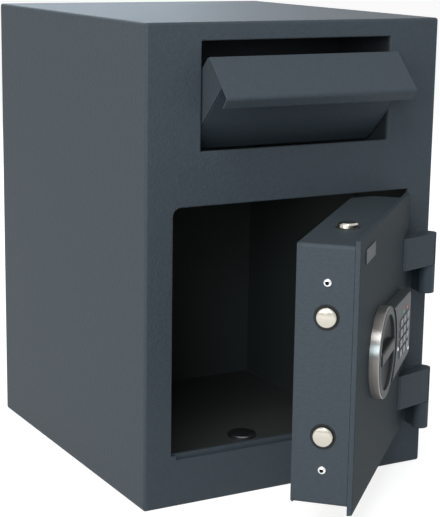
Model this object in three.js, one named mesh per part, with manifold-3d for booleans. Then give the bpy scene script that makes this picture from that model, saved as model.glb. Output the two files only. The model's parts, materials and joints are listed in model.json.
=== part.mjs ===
// Drop safe with a tilting deposit drawer above a hinged door, in millimetres.
// X runs to the right, Y into the safe, Z up. The pieces are set out with the front
// face at Y = 0, and the whole is then moved so that the origin is at the middle of
// the casing's underside. The door stands part open, the deposit drawer is closed
// and the bolts are drawn back.
import * as THREE from 'three';
import Module from 'manifold-3d';
import { mergeVertices } from 'three/addons/utils/BufferGeometryUtils.js';
import { RoundedBoxGeometry } from 'three/addons/geometries/RoundedBoxGeometry.js';

// Casing
const bodyWidth = 350;
const bodyDepth = 388;
const bodyHeight = 500;
const bodyWall = 4;
const frontThickness = 5;
const backThickness = 4;
const bodyEdgeRadius = 3;

// Clearances: fit is left between pieces that touch, run between pieces that move
const fit = 0.3;
const run = 0.4;
const overrun = 6;

// Frame of steel that the front face leaves round the deposit opening and the doorway
const headWidth = 18.5;
const mouthHeight = 109.7;
const lintelWidth = 55.6;
const jambWidth = 31.3;

// Doorway in the front face, with a lowered sill that takes the door plate's foot
const doorwayFloor = 55.3;
const doorwayCornerRadius = 9;
const sillDrop = 4.8;
const sillShoulder = 6.5;
const sillBarThickness = 5;

// Keeper bars that the thrown bolts stand behind
const keeperDepth = 13.4;
const keeperHeight = 13.5;

// Anchor hole in the floor, with its dished plug
const anchorX = 30;
const anchorY = 154;
const anchorHoleRadius = 8;
const plugRadius = 17;
const plugHeight = 3.4;
const plugRim = 2.2;
const plugDish = 2.2;
const plugDishShares = [0.5, 0.8];

// Deposit opening and the housing behind it
const mouthWidth = 227;
const housingWall = 2;
const housingHeadroom = 3.1;
const housingStep = 6.5;
const housingFall = 43;
const housingSlopeDepth = 80;
const housingDepth = 113;
const baffleHangDepth = 96;
const baffleFootDepth = 82;
const baffleHeight = 84;
const baffleThickness = 2;
const baffleToothDepth = 8;
const baffleToothPitch = 14;

// Deposit drawer: a trough that tips about two stub pivots, measured with its floor level
const drawerTilt = 45;
const drawerPivotY = 34;
const drawerPivotRise = 12.2;
const drawerFloorDrop = 11.3;
const drawerReach = 92.5;
const drawerSheet = 2;
const drawerSideGap = 0.5;
const drawerPlateTop = 24.9;
const drawerPlateFoot = 28;
const drawerLipLength = 13.3;
const drawerLipAngle = 8;
const drawerBendRadius = 4;
const drawerCheekGap = 1.8;
const drawerCheekThickness = 2;
const drawerCheekRise = 3;
const drawerCheekTopLength = 65.8;
const drawerCheekCornerRadius = 4.5;
const drawerFloorTail = 9;
const pivotRadius = 4;
const pivotReachIn = 3.5;
const pivotReachOut = 9;
const pivotHeadRadius = 6.5;
const pivotHeadThickness = 2;
const closingSpringRadius = 6.2;
const closingSpringLength = 6;
const bumperRadius = 4;
const bumperLength = 6.5;
const bumperShare = 0.35;

// Hinges: a knuckle on the casing below, a knuckle with a gusset on the door above
const hingeInset = 15.7;
const hingeStandout = 18.7;
const knuckleRadius = 9.2;
const upperHingeDrop = 45.2;
const upperKnuckleHeight = 31.2;
const upperLeafHeight = 35.5;
const lowerHingeDrop = 6.8;
const lowerKnuckleHeight = 30.9;
const lowerLeafHeight = 38.3;
const hingePinRadius = 4;
const hingePinCap = 4;
const hingeWebWidth = 15;
const gussetReach = 44.6;
const gussetFoot = 47.5;
const gussetEndHeight = 3.3;
const gussetHeel = 20;

// Door: a flat plate with a pan behind it and a back cover
const doorOpenAngle = 44.6;
const doorPlateThickness = 5;
const doorDepth = 60;
const doorFreeGap = 11.1;
const doorHingeGap = 1.7;
const doorTopGap = 0.8;
const doorFootGap = 0.8;
const doorPlateEdge = 1.2;
const panTopInset = 4.9;
const panFootInset = 8;
const panHingeInset = 3;
const panWall = 3;
const panEdgeRadius = 3.5;
const coverThickness = 3;

// Bolts: all three are drawn back here, and stand out further when the knob turns
const boltRadius = 10;
const boltDepth = 30;
const boltInset = 68.1;
const boltTailRoom = 19.3;
const boltStandout = 5;
const boltChamfer = 1.5;
const boltTravel = 12;
const topBoltOffset = 17;
const topBoltLength = 45;
const bushWall = 1.6;
const bushLength = 14;
const bushProud = 0.4;
const edgeScrewInset = 35.1;
const edgeScrewHeadRadius = 4.3;
const edgeScrewHeadHeight = 2.4;
const edgeScrewRadius = 2.4;
const edgeScrewLength = 12;
const edgeScrewSocketRadius = 1.8;
const edgeScrewSocketDepth = 1.6;
const edgeScrewCrownShare = 0.8;
const carriageBarWidth = 12;
const carriageBarDepth = 12;
const carriageOverhang = 15;
const armThickness = 4;
const armFront = 38;
const armFoot = 6.5;
const armTop = 20;
const armTailRoom = 8;
const guideThickness = 5.4;
const guideEndRoom = 3;
const guideFootHeight = 27;
const guideFootWidth = 12;
const rodThickness = 3;
const rodWidth = 22;
const rodFoot = 15;
const rodShoulderHeight = 12;
const rodBlockHeight = 7;
const rodBlockFront = 22;

// Lock: a round knob and a keypad housing, both as high as each other
const lockDrop = 0.5;
const knobReach = 188;
const knobTurn = 60;
const knobRadius = 46;
const knobHeight = 12;
const knobRimWidth = 8.5;
const knobEdge = 1.6;
const dialFloor = 5;
const dialThickness = 3;
const dialShares = [[0.85, 0.65], [0.6, 0.2], [0.3, 0.05]];
const gripGap = 1.2;
const gripWidth = 13;
const gripRound = 2.5;
const spindleRadius = 5;
const spindleBoreGap = 0.6;
const camRadius = 17;
const camThickness = 3;
const camFront = 42.6;
const camPinRadius = 2;
const padRadius = 46.6;
const padReach = 130;
const padRootHalf = 38.4;
const padEndHalf = 34.6;
const padRootReach = 24;
const padCornerRadius = 7;
const padEdge = 1.2;
const padEdgeSteps = 2;
const keyColumns = 3;
const keyRows = 4;
const keyWidth = 14.6;
const keyHeight = 8;
const keyPitchX = 19.2;
const keyPitchZ = 10.9;
const keyCentreX = 89.5;
const keyCentreZ = -3.6;
const keyProud = 1;
const keyTravel = 1;
const keyThickness = 4;
const keyRound = 0.8;
const lampRadius = 2.1;
const lampLength = 4;
const lampProud = 0.7;
const lampSpacing = 21.3;
const lampCentreX = 92.2;
const lampZ = 21.6;
const lampDome = 0.5;
const lampDomeShares = [0.6, 0.7];
const studRadius = 2.2;
const studProud = 0.6;
const studLength = 3;
const studX = 120.5;
const studZ = -27.2;
const lockCaseWidth = 78;
const lockCaseHeight = 68;
const lockCaseDepth = 22;
const lockCaseReach = 72;
const lockCaseEdge = 2;
const batteryWidth = 62;
const batteryHeight = 70;
const batteryThickness = 1.6;
const batteryEdge = 0.4;
const batteryReach = 52;

// Bare plate on the door's front, near the free edge
const namePlateWidth = 45;
const namePlateHeight = 14;
const namePlateThickness = 0.8;
const namePlateInset = 46.4;
const namePlateDrop = 19.4;

// Facets of round shapes
const roundSides = 40;
const ringSides = 72;
const smallSides = 20;
const filletSteps = 3;

// Places worked out from the sizes above
const innerX = bodyWidth / 2 - bodyWall;
const mouthTop = bodyHeight - headWidth;
const mouthFloor = mouthTop - mouthHeight;
const mouthX = mouthWidth / 2;
const doorwayTop = mouthFloor - lintelWidth;
const doorwayX = bodyWidth / 2 - jambWidth;
const housingFrontFloor = mouthFloor - housingStep;
const housingRearFloor = housingFrontFloor - housingFall;
const drawerPivotZ = mouthFloor + drawerPivotRise;
const hingeAxisX = bodyWidth / 2 - hingeInset;
const hingeAxisY = -hingeStandout;
const sillZ = doorwayFloor - sillDrop;
const behindFront = frontThickness + fit;
const keeperBack = behindFront + keeperDepth;
const doorFront = hingeStandout;
const doorBack = doorFront + doorDepth;
const plateFree = hingeAxisX + doorwayX - doorFreeGap;
const plateHinge = hingeAxisX - doorwayX + doorHingeGap;
const plateFoot = sillZ + doorFootGap;
const plateTop = doorwayTop - doorTopGap;
const panFoot = plateFoot + panFootInset;
const panTop = plateTop - panTopInset;
const panHinge = plateHinge + panHingeInset;
const lockZ = (panFoot + panTop) / 2 - lockDrop;
const boltSpacing = panTop - panFoot - 2 * boltInset;
const edgeScrewSpacing = panTop - panFoot - 2 * edgeScrewInset;
const boltLength = plateFree + boltStandout - knobReach - boltTailRoom;
const topBoltReach = knobReach + topBoltOffset;
const panFront = doorFront + doorPlateThickness + fit;
const boltY = doorFront + boltDepth;
const bushOuterRadius = boltRadius + run + bushWall;
const bushHoleRadius = bushOuterRadius + fit;
const deg = Math.PI / 180;

const wasm = await Module();
wasm.setup();

// A closed geometry becomes a solid that can be cut and joined
function solid(geometry) {
  const bare = geometry.clone();
  bare.deleteAttribute('normal');
  bare.deleteAttribute('uv');
  const merged = mergeVertices(bare);
  return new wasm.Manifold(new wasm.Mesh({
    numProp: 3,
    vertProperties: new Float32Array(merged.attributes.position.array),
    triVerts: new Uint32Array(merged.index.array),
  }));
}

function surface(body) {
  const mesh = body.getMesh();
  const geometry = new THREE.BufferGeometry();
  geometry.setAttribute('position', new THREE.BufferAttribute(new Float32Array(mesh.vertProperties), 3));
  geometry.setIndex(new THREE.BufferAttribute(new Uint32Array(mesh.triVerts), 1));
  const flat = geometry.toNonIndexed();
  flat.computeVertexNormals();
  return flat;
}

function cut(geometry, ...tools) {
  let body = solid(geometry);
  for (const tool of tools) {
    body = body.subtract(solid(tool));
  }
  return surface(body);
}

function join(geometry, ...others) {
  let body = solid(geometry);
  for (const other of others) {
    body = body.add(solid(other));
  }
  return surface(body);
}

// Basic blocks: box takes its low and high corner, rods run along one axis
function box(x0, x1, y0, y1, z0, z1) {
  const geometry = new THREE.BoxGeometry(x1 - x0, y1 - y0, z1 - z0);
  return geometry.translate((x0 + x1) / 2, (y0 + y1) / 2, (z0 + z1) / 2);
}

function softBox(x0, x1, y0, y1, z0, z1, radius, steps = 1) {
  const geometry = new RoundedBoxGeometry(x1 - x0, y1 - y0, z1 - z0, steps, radius);
  return geometry.translate((x0 + x1) / 2, (y0 + y1) / 2, (z0 + z1) / 2);
}

function rodX(x0, x1, y, z, radius, sides = roundSides) {
  const geometry = new THREE.CylinderGeometry(radius, radius, x1 - x0, sides);
  return geometry.rotateZ(-Math.PI / 2).translate((x0 + x1) / 2, y, z);
}

function rodY(x, y0, y1, z, radius, sides = roundSides) {
  const geometry = new THREE.CylinderGeometry(radius, radius, y1 - y0, sides);
  return geometry.translate(x, (y0 + y1) / 2, z);
}

function rodZ(x, y, z0, z1, radius, sides = roundSides) {
  const geometry = new THREE.CylinderGeometry(radius, radius, z1 - z0, sides);
  return geometry.rotateX(Math.PI / 2).translate(x, y, (z0 + z1) / 2);
}

function shape(points) {
  return new THREE.Shape(points.map(([a, b]) => new THREE.Vector2(a, b)));
}

function extrude(outline, depth) {
  return new THREE.ExtrudeGeometry(outline, { depth, bevelEnabled: false, curveSegments: filletSteps * 2 });
}

// Prisms: prismX takes an outline in Y and Z, prismY in X and Z, prismZ in X and Y
function prismX(outline, x0, x1) {
  const axes = new THREE.Matrix4().makeBasis(
    new THREE.Vector3(0, 1, 0), new THREE.Vector3(0, 0, 1), new THREE.Vector3(1, 0, 0));
  return extrude(outline, x1 - x0).applyMatrix4(axes).translate(x0, 0, 0);
}

function prismY(outline, y0, y1) {
  return extrude(outline, y1 - y0).rotateX(Math.PI / 2).translate(0, y1, 0);
}

function prismZ(outline, z0, z1) {
  return extrude(outline, z1 - z0).translate(0, 0, z0);
}

// A turned piece: the profile lists radius and height from the inside outwards
function turned(points, sides = roundSides) {
  const geometry = new THREE.LatheGeometry(points.map(([r, h]) => new THREE.Vector2(r, h)), sides);
  return geometry.rotateX(Math.PI / 2);
}

// Materials of the safe
function metal(color, roughness, metalness) {
  return new THREE.MeshStandardMaterial({ color, roughness, metalness });
}

const paint = metal(0x434b53, 0.55, 0.2);
const darkPaint = metal(0x1a1d20, 0.7, 0.2);
const chrome = metal(0xd8dbdd, 0.12, 1);
const nickel = metal(0xbdb8ae, 0.25, 1);
const steel = metal(0x8e9296, 0.4, 0.9);
const blackPlastic = metal(0x16181a, 0.5, 0);
const greyPlastic = metal(0x3d4247, 0.45, 0);
const keyPlastic = metal(0x2a2d31, 0.5, 0);
const plateGrey = metal(0x8a8d90, 0.4, 0.4);
const redLens = metal(0xc02028, 0.25, 0);
const greenLens = metal(0x20a850, 0.25, 0);
const rubber = metal(0x121212, 0.85, 0);

const assembly = new THREE.Group();
const safe = new THREE.Group();
safe.position.y = -bodyDepth / 2;
assembly.add(safe);

function piece(group, name, geometry, material, place = [0, 0, 0]) {
  const mesh = new THREE.Mesh(geometry, material);
  mesh.name = name;
  mesh.position.set(...place);
  group.add(mesh);
}

// Casing
function doorwayOutline() {
  const outline = new THREE.Shape();
  const shoulderX = -doorwayX + sillShoulder;
  outline.moveTo(-doorwayX, doorwayFloor);
  outline.lineTo(shoulderX, doorwayFloor);
  outline.lineTo(shoulderX, sillZ);
  outline.lineTo(doorwayX, sillZ);
  outline.lineTo(doorwayX, doorwayTop);
  outline.absarc(-doorwayX + doorwayCornerRadius, doorwayTop - doorwayCornerRadius,
    doorwayCornerRadius, Math.PI / 2, Math.PI);
  return outline;
}

function casing() {
  const outer = softBox(-bodyWidth / 2, bodyWidth / 2, 0, bodyDepth, 0, bodyHeight,
    bodyEdgeRadius, filletSteps);
  return cut(outer,
    box(-innerX, innerX, frontThickness, bodyDepth + overrun, bodyWall, bodyHeight - bodyWall),
    prismY(doorwayOutline(), -overrun, frontThickness + overrun),
    box(-mouthX, mouthX, -overrun, frontThickness + overrun, mouthFloor, mouthTop),
    rodZ(anchorX, anchorY, -overrun, bodyWall + overrun, anchorHoleRadius, smallSides));
}

piece(safe, 'body_shell', casing(), paint);
piece(safe, 'back_panel', box(-innerX + fit, innerX - fit, bodyDepth - backThickness, bodyDepth,
  bodyWall + fit, bodyHeight - bodyWall - fit), paint);
piece(safe, 'sill_bar', box(-innerX + fit, innerX - fit, behindFront, behindFront + sillBarThickness,
  bodyWall + fit, doorwayFloor), paint);
piece(safe, 'jamb_keeper', box(-innerX + fit, -doorwayX - fit, behindFront, keeperBack,
  doorwayFloor + fit, doorwayTop), darkPaint);
piece(safe, 'header_keeper', box(-innerX + fit, innerX - fit, behindFront, keeperBack,
  doorwayTop + fit, doorwayTop + fit + keeperHeight), darkPaint);

// Dished plug: a cap on the floor with a stem down the anchor hole
function anchorPlug() {
  const stemRadius = anchorHoleRadius - fit;
  const top = bodyWall + fit + plugHeight;
  return turned([
    [0, 0], [stemRadius, 0], [stemRadius, bodyWall + fit], [plugRadius, bodyWall + fit],
    [plugRadius, top - plugRim / 2], [plugRadius - plugRim / 2, top], [plugRadius - plugRim, top],
    [plugRadius * plugDishShares[0], top - plugDish * plugDishShares[1]], [0, top - plugDish],
  ]);
}

piece(safe, 'anchor_plug', anchorPlug(), steel, [anchorX, anchorY, 0]);

// Deposit housing: side walls, top and a floor that slopes down to an open rear
const housingTop = mouthTop + housingHeadroom;
const slope = (housingFrontFloor - housingRearFloor) / housingSlopeDepth;
const housingSlopeEnd = behindFront + housingSlopeDepth;
const housingRear = behindFront + housingDepth;

function housingOutline() {
  return shape([
    [behindFront, housingFrontFloor - housingWall],
    [housingSlopeEnd, housingRearFloor - housingWall],
    [housingRear, housingRearFloor - housingWall],
    [housingRear, housingTop + housingWall],
    [behindFront, housingTop + housingWall],
  ]);
}

function depositHousing() {
  const outer = prismX(housingOutline(), -mouthX - housingWall, mouthX + housingWall);
  const inner = shape([
    [behindFront - overrun, housingFrontFloor + overrun * slope],
    [housingSlopeEnd, housingRearFloor],
    [housingSlopeEnd, housingRearFloor - overrun],
    [housingRear + overrun, housingRearFloor - overrun],
    [housingRear + overrun, housingTop],
    [behindFront - overrun, housingTop],
  ]);
  const bores = [-1, 1].map((side) => rodX(
    Math.min(side * (mouthX - overrun), side * (mouthX + overrun)),
    Math.max(side * (mouthX - overrun), side * (mouthX + overrun)),
    drawerPivotY, drawerPivotZ, pivotRadius + fit, smallSides));
  return cut(outer, prismX(inner, -mouthX, mouthX), ...bores);
}

piece(safe, 'deposit_housing', depositHousing(), darkPaint);

// Baffle: a leaning plate with a toothed foot that stops anything being drawn back out
function baffle() {
  const top = housingTop - fit;
  const lean = baffleHangDepth - baffleFootDepth;
  const width = 2 * (mouthX - fit);
  const outline = shape([
    [behindFront + baffleHangDepth, top],
    [behindFront + baffleFootDepth, top - baffleHeight],
    [behindFront + baffleFootDepth + baffleThickness, top - baffleHeight],
    [behindFront + baffleHangDepth + baffleThickness, top],
  ]);
  const teeth = Math.floor(width / baffleToothPitch);
  const pitch = width / teeth;
  const notches = [];
  for (let i = 0; i < teeth; i += 1) {
    const left = -width / 2 + i * pitch;
    const notch = shape([
      [left, top - baffleHeight - overrun],
      [left + pitch, top - baffleHeight - overrun],
      [left + pitch, top - baffleHeight],
      [left + pitch / 2, top - baffleHeight + baffleToothDepth],
      [left, top - baffleHeight],
    ]);
    notches.push(prismY(notch, behindFront + baffleFootDepth - overrun,
      behindFront + baffleFootDepth + lean + overrun));
  }
  return cut(prismX(outline, -width / 2, width / 2), ...notches);
}

piece(safe, 'anti_fishing_baffle', baffle(), darkPaint);

// Stub pivots through the housing's walls, with heads outside and the closing spring round one
const cheekX = mouthX - drawerCheekGap;

function stubPivot(side) {
  const inside = cheekX - drawerCheekThickness - pivotReachIn;
  const outside = mouthX + housingWall + pivotReachOut;
  const ends = [side * inside, side * outside].sort((a, b) => a - b);
  const headEnds = [side * outside, side * (outside + pivotHeadThickness)].sort((a, b) => a - b);
  const stem = rodX(ends[0], ends[1], 0, 0, pivotRadius, smallSides);
  return join(stem, rodX(headEnds[0], headEnds[1], 0, 0, pivotHeadRadius, smallSides));
}

function closingSpring() {
  const near = mouthX + housingWall + fit;
  const bore = rodX(near - overrun, near + closingSpringLength + overrun, 0, 0,
    pivotRadius + fit, smallSides);
  return cut(rodX(near, near + closingSpringLength, 0, 0, closingSpringRadius, smallSides), bore);
}

piece(safe, 'drawer_pivot_left', stubPivot(-1), steel, [0, drawerPivotY, drawerPivotZ]);
piece(safe, 'drawer_pivot_right', stubPivot(1), steel, [0, drawerPivotY, drawerPivotZ]);
piece(safe, 'drawer_spring', closingSpring(), steel, [0, drawerPivotY, drawerPivotZ]);

// Deposit drawer, built with its floor level and then tipped shut about the pivots
const drawer = new THREE.Group();
drawer.position.set(0, drawerPivotY, drawerPivotZ);
drawer.rotation.x = -drawerTilt * deg;
safe.add(drawer);

const drawerPlateInner = -drawerReach + drawerSheet;
const drawerFloorTop = -drawerFloorDrop + drawerSheet;
const cheekFront = drawerPlateInner + fit;
const cheekTop = drawerPlateTop + drawerCheekRise;
const cheekTopEnd = cheekFront + drawerCheekTopLength;

function drawerPlate() {
  const lip = drawerLipAngle * deg;
  const along = [Math.cos(lip), -Math.sin(lip)];
  const up = [Math.sin(lip), Math.cos(lip)];
  const end = [-drawerReach + drawerLipLength * along[0], -drawerPlateFoot + drawerLipLength * along[1]];
  const innerEnd = [end[0] + drawerSheet * up[0], end[1] + drawerSheet * up[1]];
  const back = (innerEnd[0] - drawerPlateInner) / along[0];
  const innerBend = [drawerPlateInner, innerEnd[1] - back * along[1]];
  const outline = new THREE.Shape();
  outline.moveTo(-drawerReach, drawerPlateTop);
  outline.lineTo(-drawerReach, -drawerPlateFoot + drawerBendRadius);
  outline.quadraticCurveTo(-drawerReach, -drawerPlateFoot,
    -drawerReach + drawerBendRadius * along[0], -drawerPlateFoot + drawerBendRadius * along[1]);
  outline.lineTo(...end);
  outline.lineTo(...innerEnd);
  outline.lineTo(...innerBend);
  outline.lineTo(drawerPlateInner, drawerPlateTop);
  return prismX(outline, -mouthX + drawerSideGap, mouthX - drawerSideGap);
}

function cheekOutline() {
  const outline = new THREE.Shape();
  outline.moveTo(cheekFront, -drawerFloorDrop);
  outline.lineTo(0, -drawerFloorDrop);
  outline.absarc(0, 0, drawerFloorDrop, -Math.PI / 2, Math.PI / 4);
  outline.lineTo(cheekTopEnd, cheekTop);
  outline.lineTo(cheekFront + drawerCheekCornerRadius, cheekTop);
  outline.quadraticCurveTo(cheekFront, cheekTop, cheekFront, cheekTop - drawerCheekCornerRadius);
  return outline;
}

function cheek(side) {
  const ends = [side * cheekX, side * (cheekX - drawerCheekThickness)].sort((a, b) => a - b);
  return cut(prismX(cheekOutline(), ends[0], ends[1]),
    rodX(ends[0] - overrun, ends[1] + overrun, 0, 0, pivotRadius + fit, smallSides));
}

piece(drawer, 'drawer_plate', drawerPlate(), paint);
const trayX = cheekX - drawerCheekThickness - fit;
piece(drawer, 'drawer_floor', box(-trayX, trayX, cheekFront, drawerFloorTail,
  -drawerFloorDrop, drawerFloorTop), paint);
piece(drawer, 'drawer_cheek_left', cheek(-1), paint);
piece(drawer, 'drawer_cheek_right', cheek(1), paint);

// Bumpers on the housing's walls that the closed drawer's cheeks rest against
function bumper(side) {
  const arcEnd = [drawerFloorDrop * Math.SQRT1_2, drawerFloorDrop * Math.SQRT1_2];
  const edge = [arcEnd[0] - cheekTopEnd, arcEnd[1] - cheekTop];
  const length = Math.hypot(edge[0], edge[1]);
  const out = [-edge[1] / length, edge[0] / length];
  const stand = bumperRadius + fit;
  const t = cheekTopEnd + edge[0] * bumperShare + out[0] * stand;
  const s = cheekTop + edge[1] * bumperShare + out[1] * stand;
  const tilt = drawerTilt * deg;
  const y = t * Math.cos(tilt) + s * Math.sin(tilt);
  const z = -t * Math.sin(tilt) + s * Math.cos(tilt);
  const ends = [side * (mouthX - fit), side * (mouthX - fit - bumperLength)].sort((a, b) => a - b);
  return rodX(ends[0], ends[1], drawerPivotY + y, drawerPivotZ + z, bumperRadius, smallSides);
}

piece(safe, 'drawer_bumper_left', bumper(-1), rubber);
piece(safe, 'drawer_bumper_right', bumper(1), rubber);

// Hinge knuckles and pins on the casing, in their own group on the hinge axis
const hinge = new THREE.Group();
hinge.position.set(hingeAxisX, hingeAxisY, 0);
safe.add(hinge);

function bodyKnuckle(foot, split) {
  const high = split - fit;
  const web = box(knuckleRadius - hingeWebWidth, knuckleRadius, 0, doorFront - fit, foot, high);
  return cut(join(rodZ(0, 0, foot, high, knuckleRadius), web),
    rodZ(0, 0, foot - overrun, high + overrun, hingePinRadius + fit, smallSides));
}

function hingePin(foot, top) {
  return rodZ(0, 0, foot + fit, top - hingePinCap - fit, hingePinRadius, smallSides);
}

const upperHingeTop = plateTop - upperHingeDrop;
const upperHingeSplit = upperHingeTop - upperLeafHeight;
const upperHingeFoot = upperHingeSplit - upperKnuckleHeight;
const lowerHingeFoot = doorwayFloor - lowerHingeDrop;
const lowerHingeSplit = lowerHingeFoot + lowerKnuckleHeight;
const lowerHingeTop = lowerHingeSplit + lowerLeafHeight;
piece(hinge, 'hinge_knuckle_upper', bodyKnuckle(upperHingeFoot, upperHingeSplit), paint);
piece(hinge, 'hinge_knuckle_lower', bodyKnuckle(lowerHingeFoot, lowerHingeSplit), paint);
piece(hinge, 'hinge_pin_upper', hingePin(upperHingeFoot, upperHingeTop), steel);
piece(hinge, 'hinge_pin_lower', hingePin(lowerHingeFoot, lowerHingeTop), steel);

// Door: its own frame has the hinge axis at X = Y = 0 and the shut door towards -X
const door = new THREE.Group();
door.position.set(hingeAxisX, hingeAxisY, 0);
door.rotation.z = doorOpenAngle * deg;
safe.add(door);

const plateBore = rodY(-knobReach, doorFront - overrun, doorFront + doorPlateThickness + overrun,
  lockZ, spindleRadius + spindleBoreGap, smallSides);
piece(door, 'door_plate', cut(softBox(-plateFree, -plateHinge, doorFront,
  doorFront + doorPlateThickness, plateFoot, plateTop, doorPlateEdge), plateBore), paint);

const boltZs = [lockZ - boltSpacing / 2, lockZ + boltSpacing / 2];
const screwZs = [lockZ - edgeScrewSpacing / 2, lockZ + edgeScrewSpacing / 2];
const panBack = doorBack - coverThickness - fit;

function doorPan() {
  const outer = softBox(-plateFree, -panHinge, panFront - panEdgeRadius, panBack + panEdgeRadius,
    panFoot, panTop, panEdgeRadius, filletSteps);
  const ahead = box(-plateFree - overrun, 0, panFront - overrun, panFront,
    panFoot - overrun, panTop + overrun);
  const behind = box(-plateFree - overrun, 0, panBack, panBack + overrun,
    panFoot - overrun, panTop + overrun);
  const hollow = box(-plateFree + panWall, -panHinge - panWall, panFront - overrun, panBack + overrun,
    panFoot + panWall, panTop - panWall);
  const bores = boltZs.map((z) => rodX(-plateFree - overrun, -plateFree + panWall + overrun,
    boltY, z, bushHoleRadius));
  bores.push(rodZ(-topBoltReach, boltY, panTop - panWall - overrun, panTop + overrun, bushHoleRadius));
  for (const z of screwZs) {
    bores.push(rodX(-plateFree - overrun, -plateFree + panWall + overrun, boltY, z,
      edgeScrewRadius + fit, smallSides));
  }
  return cut(outer, ahead, behind, hollow, ...bores);
}

piece(door, 'door_pan', doorPan(), paint);
piece(door, 'door_back_cover', softBox(-plateFree, -panHinge, doorBack - coverThickness, doorBack,
  panFoot, panTop, doorPlateEdge), paint);

// Hinge leaf: a barrel with a gusset that runs down to the door plate
function doorLeaf(split, top) {
  const low = split + fit;
  const slopeAngle = Math.atan2(doorFront - gussetEndHeight + knuckleRadius, gussetReach);
  const touch = [-knuckleRadius * Math.sin(slopeAngle), -knuckleRadius * Math.cos(slopeAngle)];
  const gusset = shape([
    touch,
    [-gussetReach, doorFront - gussetEndHeight],
    [-gussetFoot, doorFront - fit],
    [-gussetHeel, doorFront - fit],
    [0, knuckleRadius / 2],
  ]);
  return cut(join(rodZ(0, 0, low, top, knuckleRadius), prismZ(gusset, low, top)),
    rodZ(0, 0, low - overrun, top - hingePinCap, hingePinRadius + fit, smallSides));
}

piece(door, 'door_hinge_leaf_upper', doorLeaf(upperHingeSplit, upperHingeTop), paint);
piece(door, 'door_hinge_leaf_lower', doorLeaf(lowerHingeSplit, lowerHingeTop), paint);

// Bolts, their bushes and the screws in the door's free edge
const free = -plateFree;

function sideBolt() {
  const body = turned([
    [0, 0], [boltRadius, 0], [boltRadius, boltLength - boltChamfer],
    [boltRadius - boltChamfer, boltLength], [0, boltLength],
  ]);
  return body.rotateY(-Math.PI / 2);
}

function topBolt() {
  return turned([
    [0, 0], [boltRadius, 0], [boltRadius, topBoltLength - boltChamfer],
    [boltRadius - boltChamfer, topBoltLength], [0, topBoltLength],
  ]);
}

const boltTail = free + boltLength - boltStandout;
piece(door, 'side_bolt_lower', sideBolt(), nickel, [boltTail, boltY, boltZs[0]]);
piece(door, 'side_bolt_upper', sideBolt(), nickel, [boltTail, boltY, boltZs[1]]);
const topBoltFoot = panTop + boltStandout - topBoltLength;
piece(door, 'top_bolt', topBolt(), nickel, [-topBoltReach, boltY, topBoltFoot]);

function bush() {
  return turned([
    [boltRadius + run, 0], [bushOuterRadius, 0], [bushOuterRadius, bushLength],
    [boltRadius + run, bushLength], [boltRadius + run, 0],
  ]);
}

const bushFace = bushLength - bushProud;
const sideBush = bush().rotateY(-Math.PI / 2);
piece(door, 'bolt_bush_lower', sideBush, blackPlastic, [free + bushFace, boltY, boltZs[0]]);
piece(door, 'bolt_bush_upper', sideBush.clone(), blackPlastic, [free + bushFace, boltY, boltZs[1]]);
piece(door, 'bolt_bush_top', bush(), blackPlastic, [-topBoltReach, boltY, panTop - bushFace]);

function edgeScrew() {
  const head = edgeScrewHeadHeight;
  return turned([
    [0, -edgeScrewLength], [edgeScrewRadius, -edgeScrewLength], [edgeScrewRadius, 0],
    [edgeScrewHeadRadius, 0], [edgeScrewHeadRadius, head / 2],
    [edgeScrewHeadRadius * edgeScrewCrownShare, head],
    [edgeScrewSocketRadius, head], [edgeScrewSocketRadius, head - edgeScrewSocketDepth],
    [0, head - edgeScrewSocketDepth],
  ], smallSides).rotateY(-Math.PI / 2);
}

piece(door, 'edge_screw_lower', edgeScrew(), chrome, [free - fit, boltY, screwZs[0]]);
piece(door, 'edge_screw_upper', edgeScrew(), chrome, [free - fit, boltY, screwZs[1]]);

// Guides: angles that the edge screws hold, which the carriage's bar slides along
function guide(side) {
  const barEnd = lockZ + side * (boltSpacing / 2 + carriageOverhang);
  const near = barEnd + side * run;
  const far = near + side * guideThickness;
  const footEnd = near + side * guideFootHeight;
  const wall = free + panWall + fit;
  const front = boltY - carriageBarDepth / 2;
  const back = boltY + carriageBarDepth / 2;
  const ledge = box(wall, -knobReach - guideEndRoom, front, back,
    Math.min(near, far), Math.max(near, far));
  const foot = box(wall, wall + guideFootWidth, front, back,
    Math.min(near, footEnd), Math.max(near, footEnd));
  const screwZ = screwZs[side > 0 ? 1 : 0];
  return cut(join(ledge, foot),
    rodX(wall - overrun, wall + guideFootWidth + overrun, boltY, screwZ, edgeScrewRadius + fit, smallSides));
}

piece(door, 'bolt_guide_lower', guide(-1), steel);
piece(door, 'bolt_guide_upper', guide(1), steel);

// Carriage: a bar behind both side bolts, with a forked arm that the cam's front pin drives
const half = knobTurn / 2 * deg;
const camPinOffset = boltTravel / 2 / Math.sin(half);
const pinX = -knobReach + camPinOffset * Math.sin(half);
const slotHalf = camPinRadius + run;

function carriage() {
  const barNear = boltTail + fit;
  const barFar = barNear + carriageBarWidth;
  const barHalf = boltSpacing / 2 + carriageOverhang;
  const bar = box(barNear, barFar, boltY - carriageBarDepth / 2, boltY + carriageBarDepth / 2,
    lockZ - barHalf, lockZ + barHalf);
  const armY = doorFront + armFront;
  const armEnd = pinX + slotHalf + armTailRoom;
  const arm = box(barNear, armEnd, armY, armY + armThickness, lockZ + armFoot, lockZ + armTop);
  const link = box(barNear, barFar, boltY, armY + armThickness, lockZ + armFoot, lockZ + armTop);
  const slotTop = lockZ + camPinOffset + slotHalf;
  const slot = box(pinX - slotHalf, pinX + slotHalf, armY - overrun, armY + armThickness + overrun,
    lockZ, slotTop);
  return cut(join(bar, link, arm), slot);
}

piece(door, 'bolt_carriage', carriage(), steel);

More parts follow.
